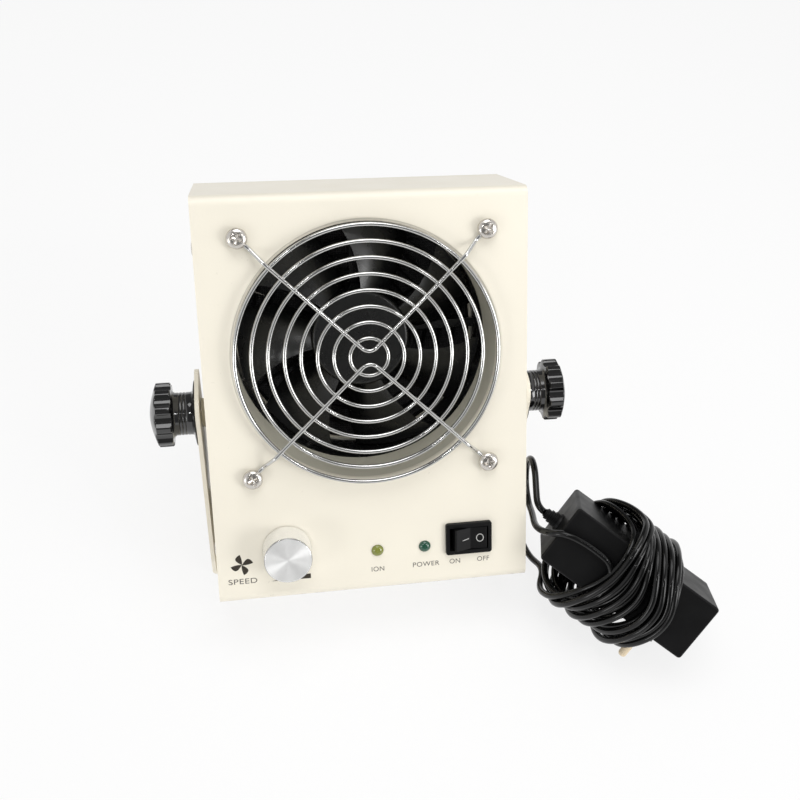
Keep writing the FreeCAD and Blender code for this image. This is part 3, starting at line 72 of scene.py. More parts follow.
UP = np.array([0.0, 0.0, 1.0])


class Body(Enum):
    """The bodies that pieces ride on."""

    STAND = "stand"
    HEAD = "head"
    LEFT_CLAMP = "left_clamp"
    RIGHT_CLAMP = "right_clamp"
    ROCKER = "rocker"


class Side(Enum):
    """Which side of the head a piece is on, as its sign across."""

    LEFT = -1
    RIGHT = 1


# ------------------------------------------------------------------ places
@dataclass(frozen=True)
class HeadFrame:
    """Turns points of the upright head, in millimetres, into the row frame in metres."""

    lean: float = math.radians(30.0)
    pivot_depth: float = 30.0
    pivot_drop: float = -9.2
    half_height: float = 90.65
    fan_height: float = 20.9

    @property
    def pivot(self) -> np.ndarray:
        """The tilt pivot in the row frame, in metres."""
        tilt = next(j for j in frame["record"]["behaviour"]["joints"]
                    if j["name"] == "head_tilt")
        return np.array(tilt["pos_m"], float)

    @property
    def turn(self) -> np.ndarray:
        """The 3x3 turn of the lean, back about the X axis."""
        c, s = math.cos(self.lean), math.sin(self.lean)
        return np.array([[1.0, 0.0, 0.0], [0.0, c, s], [0.0, -s, c]])

    def place(self, points: np.ndarray) -> np.ndarray:
        """Row-frame metres of head-frame millimetre points.

        Args:
            points: an (n, 3) array of x, depth and height on the upright head.

        Returns:
            The (n, 3) array in the row frame, in metres.
        """
        local = np.asarray(points, float) - [0.0, self.pivot_depth, self.pivot_drop]
        return local @ self.turn.T * MM + self.pivot

    def local(self, points: np.ndarray) -> np.ndarray:
        """Head-frame millimetres of row-frame metre points, the way back of place."""
        away = (np.asarray(points, float) - self.pivot) / MM
        return away @ self.turn + [0.0, self.pivot_depth, self.pivot_drop]

    def matrix(self, x: float, depth: float, height: float) -> Matrix:
        """The placement of a small piece at that spot of the head, axes turned with it."""
        spot = self.place(np.array([[x, depth, height]]))[0]
        return Matrix.Translation(Vector(spot)) @ Matrix(self.turn.tolist()).to_4x4()


HEAD = HeadFrame()


def node_points(name: str) -> np.ndarray:
    """Reads the points of a CAD node's mesh.

    Args:
        name: the node's name.

    Returns:
        The (n, 3) points, in row-frame metres.
    """
    mesh = frame["nodes"][name].data
    flat = np.zeros(len(mesh.vertices) * 3, np.float32)
    mesh.vertices.foreach_get("co", flat)
    return flat.reshape(-1, 3).astype(float)


# ------------------------------------------------------------------ mesh helpers
def into_scene(name: str, data: bpy.types.ID) -> bpy.types.Object:
    """Links a new object into the scene.

    Args:
        name: the object's name.
        data: its mesh, curve, camera or light.

    Returns:
        The new object.
    """
    made = bpy.data.objects.new(name, data)
    bpy.context.scene.collection.objects.link(made)
    return made


def mesh_from(name: str, verts: np.ndarray, faces: list, smooth: bool = True,
              sharp: float | None = None) -> bpy.types.Object:
    """A mesh object in the scene from arrays of points and faces.

    Args:
        name: the piece's name.
        verts: (n, 3) points in the row frame, in metres.
        faces: corner indices of each face, anticlockwise seen from outside.
        smooth: whether its faces are shaded smooth.
        sharp: the angle in degrees past which an edge stays crisp, if any does.

    Returns:
        The new object at the origin.
    """
    mesh = bpy.data.meshes.new(name)
    mesh.from_pydata(np.asarray(verts, float).tolist(), [], faces)
    mesh.polygons.foreach_set("use_smooth", np.full(len(mesh.polygons), smooth))
    mesh.validate()
    mesh.update()
    if sharp is not None:
        mesh.set_sharp_from_angle(angle=math.radians(sharp))
    return into_scene(name, mesh)


def grid_faces(rows: int, cols: int, wrap: bool) -> np.ndarray:
    """Quads of a grid of points that are counted row by row.

    Args:
        rows: how many rows there are.
        cols: how many points a row has.
        wrap: whether the last column joins the first.

    Returns:
        The (n, 4) corner indices.
    """
    i = np.arange(rows - 1)[:, None]
    j = np.arange(cols if wrap else cols - 1)[None, :]
    k = (j + 1) % cols
    quads = np.stack([i * cols + j, i * cols + k, (i + 1) * cols + k, (i + 1) * cols + j],
                     axis=-1)
    return quads.reshape(-1, 4)


@dataclass
class Shell:
    """Points and faces under construction, which several closed shapes can be joined into."""

    points: list[np.ndarray] = field(default_factory=list)
    faces: list[list[int]] = field(default_factory=list)
    count: int = 0

    def add(self, points: np.ndarray, faces: list[np.ndarray]) -> None:
        """Adds one closed shape, turned so that its faces point outwards.

        The signed volume is a sixth of the sum of a . (b x c) over the fan triangles of every
        face. When it is negative, each face's corners are taken the other way round.

        Args:
            points: (n, 3) points.
            faces: arrays of corner indices, each (m, 3) or (m, 4).
        """
        volume = 0.0
        for group in faces:
            for k in range(1, group.shape[1] - 1):
                a, b, c = (points[group[:, n]] for n in (0, k, k + 1))
                volume += float(np.sum(a * np.cross(b, c)))
        for group in faces:
            turned = group if volume > 0 else group[:, ::-1]
            self.faces += (turned + self.count).tolist()
        self.points.append(points)
        self.count += len(points)

    def add_rings(self, rings: np.ndarray, first: np.ndarray, last: np.ndarray) -> None:
        """Adds a closed body of rings, a fan of triangles about a pole at each end.

        Args:
            rings: (n, m, 3) points of n rings.
            first: the pole before the first ring.
            last: the pole after the last ring.
        """
        n, m, _ = rings.shape
        j = np.arange(m)
        k = (j + 1) % m
        start = np.stack([np.full(m, n * m), k, j], axis=1)
        end = np.stack([np.full(m, n * m + 1), (n - 1) * m + j, (n - 1) * m + k], axis=1)
        self.add(np.vstack([rings.reshape(-1, 3), [first], [last]]),
                 [grid_faces(n, m, True), start, end])

    def piece(self, name: str, smooth: bool = True,
              sharp: float | None = None) -> bpy.types.Object:
        """The whole shell as one mesh piece, shaded as mesh_from says."""
        return mesh_from(name, np.vstack(self.points), self.faces, smooth, sharp)


def circle_of(count: int) -> tuple[np.ndarray, np.ndarray]:
    """Cosines and sines of that many even angles round a circle."""
    t = np.linspace(0, 2 * math.pi, count, endpoint=False)
    return np.cos(t), np.sin(t)


def tube_rings(path: np.ndarray, radius: float, sides: int) -> np.ndarray:
    """Rings of a round tube that follows a path.

    Each ring is radius * (cos t * n + sin t * b) about its path point, where n is the last
    ring's n with its part along the new tangent taken off, so the tube doesn't twist.

    Args:
        path: (n, 3) centre points.
        radius: the tube's radius.
        sides: points round each ring.

    Returns:
        The rings, (n, sides, 3).
    """
    tangent = np.gradient(path, axis=0)
    tangent /= np.linalg.norm(tangent, axis=1)[:, None]
    normal = np.zeros_like(path)
    aside = np.cross(tangent[0], UP)
    if np.linalg.norm(aside) < 0.1:
        aside = np.cross(tangent[0], [1.0, 0.0, 0.0])
    normal[0] = aside / np.linalg.norm(aside)
    for i in range(1, len(path)):
        n = normal[i - 1] - tangent[i] * (normal[i - 1] @ tangent[i])
        normal[i] = n / np.linalg.norm(n)
    side = np.cross(tangent, normal)
    cos, sin = circle_of(sides)
    return path[:, None] + radius * (cos[None, :, None] * normal[:, None]
                                     + sin[None, :, None] * side[:, None])


def read_curve(control: np.ndarray, name: str, steps: int = 6) -> np.ndarray:
    """Points down a smooth NURBS curve with these control points.

    Args:
        control: (n, 3) control points in metres.
        name: a name for the passing curve data.
        steps: how many points the curve has for each control point.

    Returns:
        The curve's own points, as Blender gives them for a curve with no bevel.
    """
    data = bpy.data.curves.new(name, "CURVE")
    data.dimensions = "3D"
    data.resolution_u = steps
    spline = data.splines.new("NURBS")
    spline.points.add(len(control) - 1)
    flat = np.hstack([control, np.ones((len(control), 1))]).ravel()
    spline.points.foreach_set("co", flat.astype(np.float32))
    spline.order_u = 3
    spline.use_endpoint_u = True
    bare = bpy.data.objects.new(name, data)
    mesh = bpy.data.meshes.new_from_object(bare)
    line = np.zeros(len(mesh.vertices) * 3, np.float32)
    mesh.vertices.foreach_get("co", line)
    bpy.data.meshes.remove(mesh)
    bpy.data.objects.remove(bare)
    bpy.data.curves.remove(data)
    return line.reshape(-1, 3).astype(float)


# ------------------------------------------------------------------ finishes
def feed(tree: bpy.types.NodeTree, socket: Link, value: object) -> None:
    """Links a value to an input socket if it is a link, and otherwise sets it there.

    Args:
        tree: the node tree that the socket is in.
        socket: the input socket.
        value: a link, a number, a vector or a colour.
    """
    if isinstance(value, Link):
        tree.links.new(value, socket)
    elif socket.type == "RGBA":
        socket.default_value = (*value, 1.0)
    else:
        socket.default_value = value


class Shade:
    """A node material under construction, with short calls for its links."""

    def __init__(self, name: str) -> None:
        """Starts an empty node tree with a Principled shader and an output."""
        self.material = bpy.data.materials.new(name)
        self.material.use_nodes = True
        self.tree = self.material.node_tree
        self.tree.nodes.clear()
        self.out = self.tree.nodes.new("ShaderNodeOutputMaterial")
        self.shader = self.tree.nodes.new("ShaderNodeBsdfPrincipled")
        self.tree.links.new(self.shader.outputs[0], self.out.inputs[0])
        self.place = self.tree.nodes.new("ShaderNodeTexCoord").outputs["Object"]

    def node(self, kind: str, **values: object) -> bpy.types.Node:
        """A node with attributes and sockets set by name; a socket's value may be a link.

        Args:
            kind: the node's type name.
            values: attributes, or sockets written with spaces as underscores, or i and a
                number for a socket by its place.

        Returns:
            The new node.
        """
        made = self.tree.nodes.new(kind)
        for key, value in values.items():
            if hasattr(made, key):
                setattr(made, key, value)
            elif key[0] == "i" and key[1:].isdigit():
                feed(self.tree, made.inputs[int(key[1:])], value)
            else:
                feed(self.tree, made.inputs[key.replace("_", " ")], value)
        return made

    def noise(self, scale: float, detail: float = 2.0, rough: float = 0.5) -> Link:
        """A noise factor of that scale per metre."""
        return self.node("ShaderNodeTexNoise", Vector=self.place, Scale=scale, Detail=detail,
                         Roughness=rough).outputs["Fac"]

    def ramp(self, value: Link, low: float, high: float, to_low: float = 0.0,
             to_high: float = 1.0) -> Link:
        """The value moved from one range to another, clamped."""
        return self.node("ShaderNodeMapRange", Value=value, From_Min=low, From_Max=high,
                         To_Min=to_low, To_Max=to_high).outputs[0]

    def mix(self, share: Link | float, a: Colour | Link, b: Colour | Link) -> Link:
        """Colour a at share 0, colour b at share 1."""
        return self.node("ShaderNodeMix", data_type="RGBA", i0=share, i6=a, i7=b).outputs[2]

    def tint(self, share: Link, colour: Colour, low: float, high: float = 1.0) -> Link:
        """A colour scaled from one factor at share 0 to another at share 1."""
        return self.mix(share, scaled(colour, low), scaled(colour, high))

    def math(self, how: str, a: Link | float, b: Link | float = 0.0) -> Link:
        """A Math node of two numbers or links."""
        return self.node("ShaderNodeMath", operation=how, i0=a, i1=b).outputs[0]

    def times(self, a: Link | float, b: Link | float) -> Link:
        """One number or link times another."""
        return self.math("MULTIPLY", a, b)

    def vector(self, how: str, a: Link | Spot, b: Link | Spot | None = None,
               out: int = 0) -> Link:
        """A Vector Math node of one or two vectors."""
        values = {"i0": a} if b is None else {"i0": a, "i1": b}
        return self.node("ShaderNodeVectorMath", operation=how, **values).outputs[out]

    def bump(self, height: Link, reach: float, strength: float) -> Link:
        """A bump normal from a height factor, reach in metres."""
        return self.node("ShaderNodeBump", Height=height, Distance=reach,
                         Strength=strength).outputs[0]

    def head_axes(self) -> tuple[Link, Link, Link]:
        """Measures the surface's own place on the upright head.

        Returns:
            Metres across, into and up the head.
        """
        away = self.vector("SUBTRACT", self.place, tuple(HEAD.pivot))
        across, into, up = (self.vector("DOT_PRODUCT", away, tuple(HEAD.turn[:, k]), out=1)
                            for k in range(3))
        return (across, self.math("ADD", into, HEAD.pivot_depth * MM),
                self.math("ADD", up, HEAD.pivot_drop * MM))

    def set(self, **values: object) -> None:
        """Feeds the shader's own sockets, whose names have underscores for spaces."""
        for key, value in values.items():
            feed(self.tree, self.shader.inputs[key.replace("_", " ")], value)


def scaled(colour: Colour, by: float) -> Colour:
    """The colour made lighter or darker by that factor."""
    return tuple(min(1.0, c * by) for c in colour)


@dataclass(frozen=True)
class Finish:
    """A surface finish, which builds its own node material."""

    name: str
    colour: Colour

    def paint(self, s: Shade) -> None:
        """Feeds the colour, the roughness and the relief of this finish to the shader."""
        raise NotImplementedError

    def build(self) -> bpy.types.Material:
        """Builds the finish.

        Returns:
            Its node material.
        """
        s = Shade(self.name)
        self.paint(s)
        return s.material


@dataclass(frozen=True)
class PowderCoat(Finish):
    """Baked powder coat: fine orange peel, faint cloudiness and a few specks of grime."""

    grime: Colour = (0.40, 0.35, 0.27)
    roughness: float = 0.38
    wear: float = 0.30
    cloud_scale: float = 14.0
    speck_scale: float = 420.0
    patch_scale: float = 26.0
    sheen_scale: float = 60.0
    peel_scale: float = 950.0
    peel_depth: float = 0.00006

    def marks(self, s: Shade, base: Link) -> Link:
        """The base colour with this coat's own marks over it; a plain coat has none."""
        return base

    def paint(self, s: Shade) -> None:
        """Clouds the colour, puts specks of grime in patches, and adds the orange peel.

        Args:
            s: the material under construction.
        """
        cloud = s.ramp(s.noise(self.cloud_scale, 3.0, 0.55), 0.35, 0.7)
        specks = s.ramp(s.noise(self.speck_scale, 2.0, 0.6), 0.70, 0.76, 0.0, self.wear)
        patch = s.ramp(s.noise(self.patch_scale, 4.0, 0.6), 0.54, 0.70)
        base = s.mix(s.times(specks, patch), s.tint(cloud, self.colour, 0.972, 1.015),
                     self.grime)
        s.set(Base_Color=self.marks(s, base),
              Roughness=s.ramp(s.noise(self.sheen_scale, 3.0), 0.3, 0.7,
                               self.roughness - 0.04, self.roughness + 0.06),
              Specular_IOR_Level=0.45, Coat_Weight=0.10, Coat_Roughness=0.20,
              Normal=s.bump(s.noise(self.peel_scale, 1.5), self.peel_depth, 0.35))


@dataclass(frozen=True)
class CasePaint(PowderCoat):
    """The case's powder coat: a painted line of shade where the lip turns in, chips on the
    lowest edge.
    """

    # the lip's painted shade line: its radius, its half width and its tone
    lip_radius: float = 58.4
    lip_shade_width: float = 0.45
    lip_shade_tone: Colour = (0.50, 0.47, 0.39)
    chip: Colour = (0.10, 0.085, 0.07)
    chip_band: float = 1.1
    chip_scale: float = 160.0
    front_depth: float = 6.0

    def marks(self, s: Shade, base: Link) -> Link:
        """Adds the painted shade line round the lip and the chipped edge.

        The painted shade line is full where the distance from the fan's axis is the lip's
        radius, and fades within half a millimetre. Chips are where a noise is high and the
        height is within a band above the case's lowest front edge.

        Args:
            s: the material under construction.
            base: the colour of the coat alone.

        Returns:
            The colour with the marks over it.
        """
        across, into, up = s.head_axes()
        rise = s.math("SUBTRACT", up, HEAD.fan_height * MM)
        far = s.math("SQRT", s.math("ADD", s.times(across, across), s.times(rise, rise)))
        off = s.math("ABSOLUTE", s.math("SUBTRACT", far, self.lip_radius * MM))
        front = s.ramp(into, self.front_depth * MM, (self.front_depth + 1) * MM, 1.0, 0.0)
        # painted shade: a darker line round the fan's axis where the lip's rounding turns in
        line = s.times(s.ramp(off, 0.0001, self.lip_shade_width * MM, 0.8, 0.0), front)
        low = (-HEAD.half_height + self.chip_band) * MM
        edge = s.ramp(up, low - self.chip_band * 0.6 * MM, low, 1.0, 0.0)
        chips = s.times(s.ramp(s.noise(self.chip_scale, 3.0, 0.65), 0.53, 0.58),
                        s.times(edge, front))
        return s.mix(chips, s.mix(line, base, self.lip_shade_tone), self.chip)


@dataclass(frozen=True)
class Metal(Finish):
    """Plated or bright steel: one metal colour, faintly mottled, with a fine grain."""

    roughness: float
    grain: float = 900.0
    depth: float = 0.00001

    def paint(self, s: Shade) -> None:
        """Mottles the metal faintly, and gives it a fine grain.

        Args:
            s: the material under construction.
        """
        tone = s.ramp(s.noise(240.0, 3.0), 0.3, 0.7)
        s.set(Base_Color=s.tint(tone, self.colour, 0.90), Metallic=1.0,
              Roughness=s.ramp(s.noise(self.grain), 0.3, 0.7, self.roughness * 0.8,
                               self.roughness * 1.3),
              Normal=s.bump(s.noise(self.grain * 2), self.depth, 0.4))


@dataclass(frozen=True)
class Plastic(Finish):
    """Moulded plastic or PVC: the mould's fine grain, mottling and a gloss of its own."""

    roughness: float
    grain: float = 1400.0
    depth: float = 0.00003
    shine: float = 0.5
    mottle: float = 0.25

    def paint(self, s: Shade) -> None:
        """Mottles the plastic, varies its gloss, and gives it the mould's grain.

        Args:
            s: the material under construction.
        """
        tone = s.ramp(s.noise(35.0, 4.0, 0.6), 0.3, 0.7)
        s.set(Base_Color=s.tint(tone, self.colour, 1 - self.mottle / 2, 1 + self.mottle),
              Roughness=s.ramp(s.noise(110.0, 3.0), 0.3, 0.7, self.roughness * 0.88,
                               self.roughness * 1.15),
              Specular_IOR_Level=self.shine,
              Normal=s.bump(s.noise(self.grain), self.depth, 0.5))


@dataclass(frozen=True)
class WovenMesh(Finish):
    """Coarse woven filter cloth: two sets of threads that cross over the pad."""

    pitch: float = 1.1

    def paint(self, s: Shade) -> None:
        """Weaves the threads.

        Each set of threads is the absolute sine of the distance across it, and the height is
        the larger of the two.

        Args:
            s: the material under construction.
        """
        across, _, up = s.head_axes()
        beat = math.pi / (self.pitch * MM)
        warp, weft = (s.math("ABSOLUTE", s.math("SINE", s.times(way, beat)))
                      for way in (across, up))
        thread = s.ramp(s.math("MAXIMUM", warp, weft), 0.55, 0.95)
        fuzz = s.ramp(s.noise(700.0, 3.0), 0.3, 0.7, 0.6, 1.0)
        s.set(Base_Color=s.tint(s.times(thread, fuzz), self.colour, 0.15), Roughness=0.85,
              Sheen_Weight=0.2, Normal=s.bump(thread, 0.0003, 0.9))


@dataclass(frozen=True)
class Lens(Finish):
    """An unlit tinted lens: part clear, faintly cloudy, with a clear coat."""

    def paint(self, s: Shade) -> None:
        """Makes the lens part clear, and polishes it.

        Args:
            s: the material under construction.
        """
        tone = s.ramp(s.noise(500.0), 0.3, 0.7)
        s.set(Base_Color=s.tint(tone, self.colour, 0.80), Roughness=0.16,
              Transmission_Weight=0.25, IOR=1.5, Coat_Weight=0.6, Coat_Roughness=0.05,
              Normal=s.bump(s.noise(900.0), 0.00002, 0.2))


@dataclass(frozen=True)
class TurnedMetal(Finish):
    """Lathe-turned metal: fine rings about an axis, with a polished cut round the face."""

    centre: Spot
    face_radius: float = 9.95
    rim_shade_depth: float = -12.45
    pitch: float = 0.35

    def paint(self, s: Shade) -> None:
        """Turns the metal about the axis that runs into the head at its centre.

        The grooves are sines of the distance from the axis and of the distance along it. The
        tangent runs out from the axis, across the grooves, so the face shines in sectors. A thin
        band round the rim of the face is darkened, a painted dark reflection.

        Args:
            s: the material under construction.
        """
        axis = tuple(HEAD.turn[:, 1])
        away = s.vector("SUBTRACT", s.place, tuple(HEAD.place(np.array([self.centre]))[0]))
        along = s.vector("DOT_PRODUCT", away, axis, out=1)
        far = s.vector("LENGTH", away, out=1)
        out = s.math("SQRT", s.math("SUBTRACT", s.times(far, far), s.times(along, along)))
        beat = 2 * math.pi / (self.pitch * MM)
        ring, side = (s.math("SINE", s.times(way, beat)) for way in (out, along))
        tone = s.ramp(s.noise(300.0), 0.3, 0.7)
        # painted dark reflection: a thin dark band round the rim of the face, on its chamfer
        edge = s.times(s.ramp(out, (self.face_radius + 0.22) * MM,
                              (self.face_radius + 0.3) * MM),
                       s.ramp(along, self.rim_shade_depth * MM, (self.rim_shade_depth + 0.1) * MM,
                              1.0, 0.0))
        cut = s.ramp(out, self.face_radius * MM, (self.face_radius + 0.1) * MM)
        sunk = s.node("ShaderNodeVectorMath", operation="SCALE", i0=axis, Scale=along)
        s.set(Base_Color=s.mix(edge, s.tint(tone, self.colour, 0.95),
                               scaled(self.colour, 0.3)),
              Metallic=0.75, Roughness=s.ramp(cut, 0.0, 1.0, 0.50, 0.14), Anisotropic=0.9,
              Tangent=s.vector("NORMALIZE", s.vector("SUBTRACT", away, sunk.outputs[0])),
              Normal=s.bump(s.math("ADD", ring, side), 0.000005, 0.2))


@dataclass(frozen=True)
class Windings(Finish):
    """Enamelled copper turns, laid close together."""

    def paint(self, s: Shade) -> None:
        """Lays the turns side by side as waves.

        Args:
            s: the material under construction.
        """
        wave = s.node("ShaderNodeTexWave", Vector=s.place, Scale=420.0, Distortion=1.5,
                      bands_direction="DIAGONAL").outputs["Fac"]
        s.set(Base_Color=s.tint(wave, self.colour, 0.6), Metallic=0.7, Roughness=0.35,
              Normal=s.bump(wave, 0.0002, 0.6))


@dataclass(frozen=True)
class CircuitBoard(Finish):
    """Green solder mask, darker between the copper tracks that lie under it."""

    def paint(self, s: Shade) -> None:
        """Draws the tracks along the borders of square cells.

        Args:
            s: the material under construction.
        """
        cells = s.node("ShaderNodeTexVoronoi", Vector=s.place, Scale=320.0,
                       distance="MANHATTAN").outputs["Distance"]
        track = s.ramp(cells, 0.35, 0.4)
        s.set(Base_Color=s.tint(track, self.colour, 0.7), Roughness=0.32, Coat_Weight=0.4,
              Normal=s.bump(track, 0.00004, 0.4))


@dataclass(frozen=True)
class Ink(Finish):
    """Screen-printed ink: flat, slightly uneven and faintly worn."""

    faded: Colour

    def paint(self, s: Shade) -> None:
        """Wears the ink in fine spots.

        Args:
            s: the material under construction.
        """
        worn = s.ramp(s.noise(1500.0, 3.0, 0.6), 0.5, 0.75)
        s.set(Base_Color=s.mix(worn, self.colour, self.faded), Roughness=0.55,
              Normal=s.bump(worn, 0.00001, 0.3))


IVORY: Colour = (0.885, 0.835, 0.715)
JET: Colour = (0.0045, 0.0045, 0.0047)


@dataclass
class Finishes:
    """Every finish of the blower by its material slot, built once each."""

    by_slot: dict[str, Finish] = field(default_factory=lambda: {
        "body_paint": CasePaint("Case powder coat", IVORY),
        # painted shade: the duct's coat is a darker copy of the case's coat
        "duct_paint": PowderCoat("Duct powder coat darkened as shade", (0.66, 0.635, 0.53), wear=0.15),
        # painted light: the bracket's coat is a lighter copy of the case's coat
        "bracket_paint": PowderCoat("Bracket powder coat lightened as light", scaled(IVORY, 1.08)),
        "plated_steel": Metal("Plated steel", (0.64, 0.61, 0.57), 0.22),
        "fan_plastic": Plastic("Fan plastic", (0.006, 0.0064, 0.0064), 0.27, shine=0.6),
        "coil_copper": Windings("Fan windings", (0.62, 0.30, 0.13)),
        "magnet": Plastic("Bonded ferrite", (0.05, 0.048, 0.047), 0.6),
        "insulator": Plastic("Moulded insulator", (0.78, 0.77, 0.71), 0.45),
        "chromed_wire": Metal("Chromed wire", (0.62, 0.62, 0.61), 0.12, 400.0),
        "black_plastic": Plastic("Moulded black plastic", JET, 0.42, shine=0.16),
        "black_rubber": Plastic("Soft relief PVC", JET, 0.42, shine=0.2),
        "green_lens": Lens("Yellow-green lens", (0.30, 0.33, 0.05)),
        "dark_lens": Lens("Dark green lens", (0.01, 0.10, 0.055)),
        "turned_aluminium": TurnedMetal("Turned aluminium", (0.93, 0.93, 0.92),
                                        (-39.4, 0.0, -66.3)),
        "board": CircuitBoard("Circuit board", (0.03, 0.17, 0.07)),
        "spacer_nylon": Plastic("Cream nylon", (0.72, 0.66, 0.50), 0.45),
        "knob_plastic": Plastic("Knob plastic", scaled(JET, 0.6), 0.09, shine=1.0,
                                depth=0.000004),
        "pin_sleeve": Plastic("Pin sleeve", (0.78, 0.65, 0.46), 0.40, mottle=0.1),
        # dark filter cloth, whose dark tone also stands in for the shade seen through the fan
        "filter_mesh": WovenMesh("Filter cloth darkened as shade", (0.055, 0.055, 0.058)),
        "lead_pvc": Plastic("Lead PVC", scaled(JET, 0.4), 0.15, 600.0, 0.00001, 0.34),
    })
    made: dict[str, bpy.types.Material] = field(default_factory=dict)

    def get(self, slot: str) -> bpy.types.Material:
        """Builds a slot's material once, and hands it out.

        Args:
            slot: the slot's name.

        Returns:
            The material.
        """
        if slot not in self.made:
            self.made[slot] = self.by_slot[slot].build()
        return self.made[slot]

    def put(self, piece: bpy.types.Object, slot: str) -> None:
        """Gives a piece one finish all over.

        Args:
            piece: the piece.
            slot: the slot's name.
        """
        piece.data.materials.clear()
        piece.data.materials.append(self.get(slot))

    def dress(self) -> None:
        """Puts each CAD node's own finish on it."""
        for part in frame["record"]["subparts"]:
            node = frame["nodes"][part["node"]]
            finish = self.get(part["material_slot"])
            if not node.material_slots:
                node.data.materials.append(finish)
            for place in node.material_slots:
                place.material = finish


# ------------------------------------------------------------------ studio
@dataclass(frozen=True)
class Lamp:
    """One square softbox: its name, where it hangs, its side in metres and its watts."""

    name: str
    spot: Spot
    size: float
    power: float


@dataclass
class Studio:
    """The floor, the surround, the dark arch, the lamps and the camera."""

    location: Spot = (-0.047456, -0.343740, 0.454605)
    turn: Spot = (44.53517, -4.51873, -9.54171)
    lens: float = 48.646
    shift: Flat = (-0.05863, -0.01892)
    floor_size: float = 6.0
    floor_colour: Colour = (0.93, 0.93, 0.93)
    floor_glow: float = 0.80
    surround: float = 0.42
    arch_radius: float = 2.6
    arch_half_width: float = 1.4
    arch_angles: Flat = (-3.0, 172.0)
    arch_steps: int = 24
    arch_tone: float = 0.22
    lamps: tuple[Lamp, ...] = (
        Lamp("overhead", (0.05, 0.02, 1.15), 0.8, 6.0),
        Lamp("front_left", (-1.0, -0.80, 0.24), 0.35, 1.9),
        Lamp("front_right", (1.0, -0.85, 0.42), 0.6, 6.6),
        Lamp("glint_left", (-0.34, -0.72, 0.92), 0.07, 0.5),
        Lamp("glint_right", (0.48, -0.62, 0.80), 0.07, 0.5))
    aim: Spot = (0.02, 0.0, 0.1)

    def camera(self) -> None:
        """The camera, in front of the head and above it, looking down."""
        data = bpy.data.cameras.new("camera")
        data.lens, data.sensor_width = self.lens, 36.0
        data.shift_x, data.shift_y = self.shift
        data.clip_start, data.clip_end = 0.01, 50.0
        piece = into_scene("camera", data)
        piece.location = self.location
        piece.rotation_euler = [math.radians(a) for a in self.turn]
        bpy.context.scene.camera = piece

    def seen_white(self, tree: bpy.types.NodeTree, share: float, plain: Link, white: Link,
                   out: Link) -> None:
        """Shows one shader to camera, mirror and glass rays, and another to the rest.

        Args:
            tree: the node tree of the floor's material or of the world.
            share: how much of the white one those rays see.
            plain: the shader for all other rays.
            white: the white shader.
            out: the output's surface socket.
        """
        def combined(how: str, a: Link, b: Link | float) -> Link:
            """Adds a Math node of two values.

            Args:
                how: the node's operation.
                a: the first value.
                b: the second value.

            Returns:
                The node's output.
            """
            made = tree.nodes.new("ShaderNodeMath")
            made.operation = how
            feed(tree, made.inputs[0], a)
            feed(tree, made.inputs[1], b)
            return made.outputs[0]

        rays = tree.nodes.new("ShaderNodeLightPath").outputs
        seen = rays["Is Camera Ray"]
        for kind in ("Is Glossy Ray", "Is Transmission Ray"):
            seen = combined("MAXIMUM", seen, rays[kind])
        both = tree.nodes.new("ShaderNodeMixShader")
        for socket, value in zip(both.inputs, (combined("MULTIPLY", seen, share), plain, white)):
            feed(tree, socket, value)
        feed(tree, out, both.outputs[0])

    def stage(self, piece: bpy.types.Object, label: str) -> bpy.types.NodeTree:
        """Gives a piece a fresh material.

        Args:
            piece: the piece.
            label: the material's name.

        Returns:
            The material's node tree.
        """
        material = bpy.data.materials.new(label)
        material.use_nodes = True
        piece.data.materials.append(material)
        return material.node_tree

    def floor(self) -> None:
        """A plain pale floor: white to the camera, and it keeps the shadow."""
        corners = np.array([[-1, -1, 0], [1, -1, 0], [1, 1, 0], [-1, 1, 0]])
        tree = self.stage(mesh_from("floor", corners * self.floor_size / 2, [[0, 1, 2, 3]],
                                    smooth=False), "Pale floor")
        shader = tree.nodes["Principled BSDF"]
        feed(tree, shader.inputs["Base Color"], self.floor_colour)
        feed(tree, shader.inputs["Roughness"], 0.9)
        feed(tree, shader.inputs["Specular IOR Level"], 0.1)
        glow = tree.nodes.new("ShaderNodeEmission")
        self.seen_white(tree, self.floor_glow, shader.outputs[0], glow.outputs[0],
                        tree.nodes["Material Output"].inputs[0])

    def world(self) -> None:
        """A soft grey surround, which camera, mirrors and glass see as a paler one."""
        world = bpy.data.worlds.new("surround")
        bpy.context.scene.world = world
        world.use_nodes = True
        tree = world.node_tree
        plain = tree.nodes["Background"]
        feed(tree, plain.inputs[0], (1.0, 1.0, 1.0))
        feed(tree, plain.inputs[1], self.surround)
        white = tree.nodes.new("ShaderNodeBackground")
        feed(tree, white.inputs[1], 1.0)
        self.seen_white(tree, 1.0, plain.outputs[0], white.outputs[0],
                        tree.nodes["World Output"].inputs[0])

    def dark_arch(self) -> None:
        """A dark strip from in front, up and over, which only mirrors see.

        It is part of a tube about the X axis: radius * (-cos a, sin a) for the angle a from
        just below the front's horizon to the one behind.
        """
        a = np.radians(np.linspace(*self.arch_angles, self.arch_steps))[:, None]
        x = np.array([[-self.arch_half_width, self.arch_half_width]])
        points = np.stack(np.broadcast_arrays(x, -self.arch_radius * np.cos(a),
                                              self.arch_radius * np.sin(a)), axis=-1)
        arch = mesh_from("dark_arch", points.reshape(-1, 3),
                         grid_faces(self.arch_steps, 2, False).tolist())
        tree = self.stage(arch, "Dark cloth")
        glow = tree.nodes.new("ShaderNodeEmission")
        feed(tree, glow.inputs[1], self.arch_tone)
        feed(tree, tree.nodes["Material Output"].inputs[0], glow.outputs[0])
        arch.visible_camera = arch.visible_diffuse = arch.visible_shadow = False
        arch.visible_transmission = arch.visible_volume_scatter = False

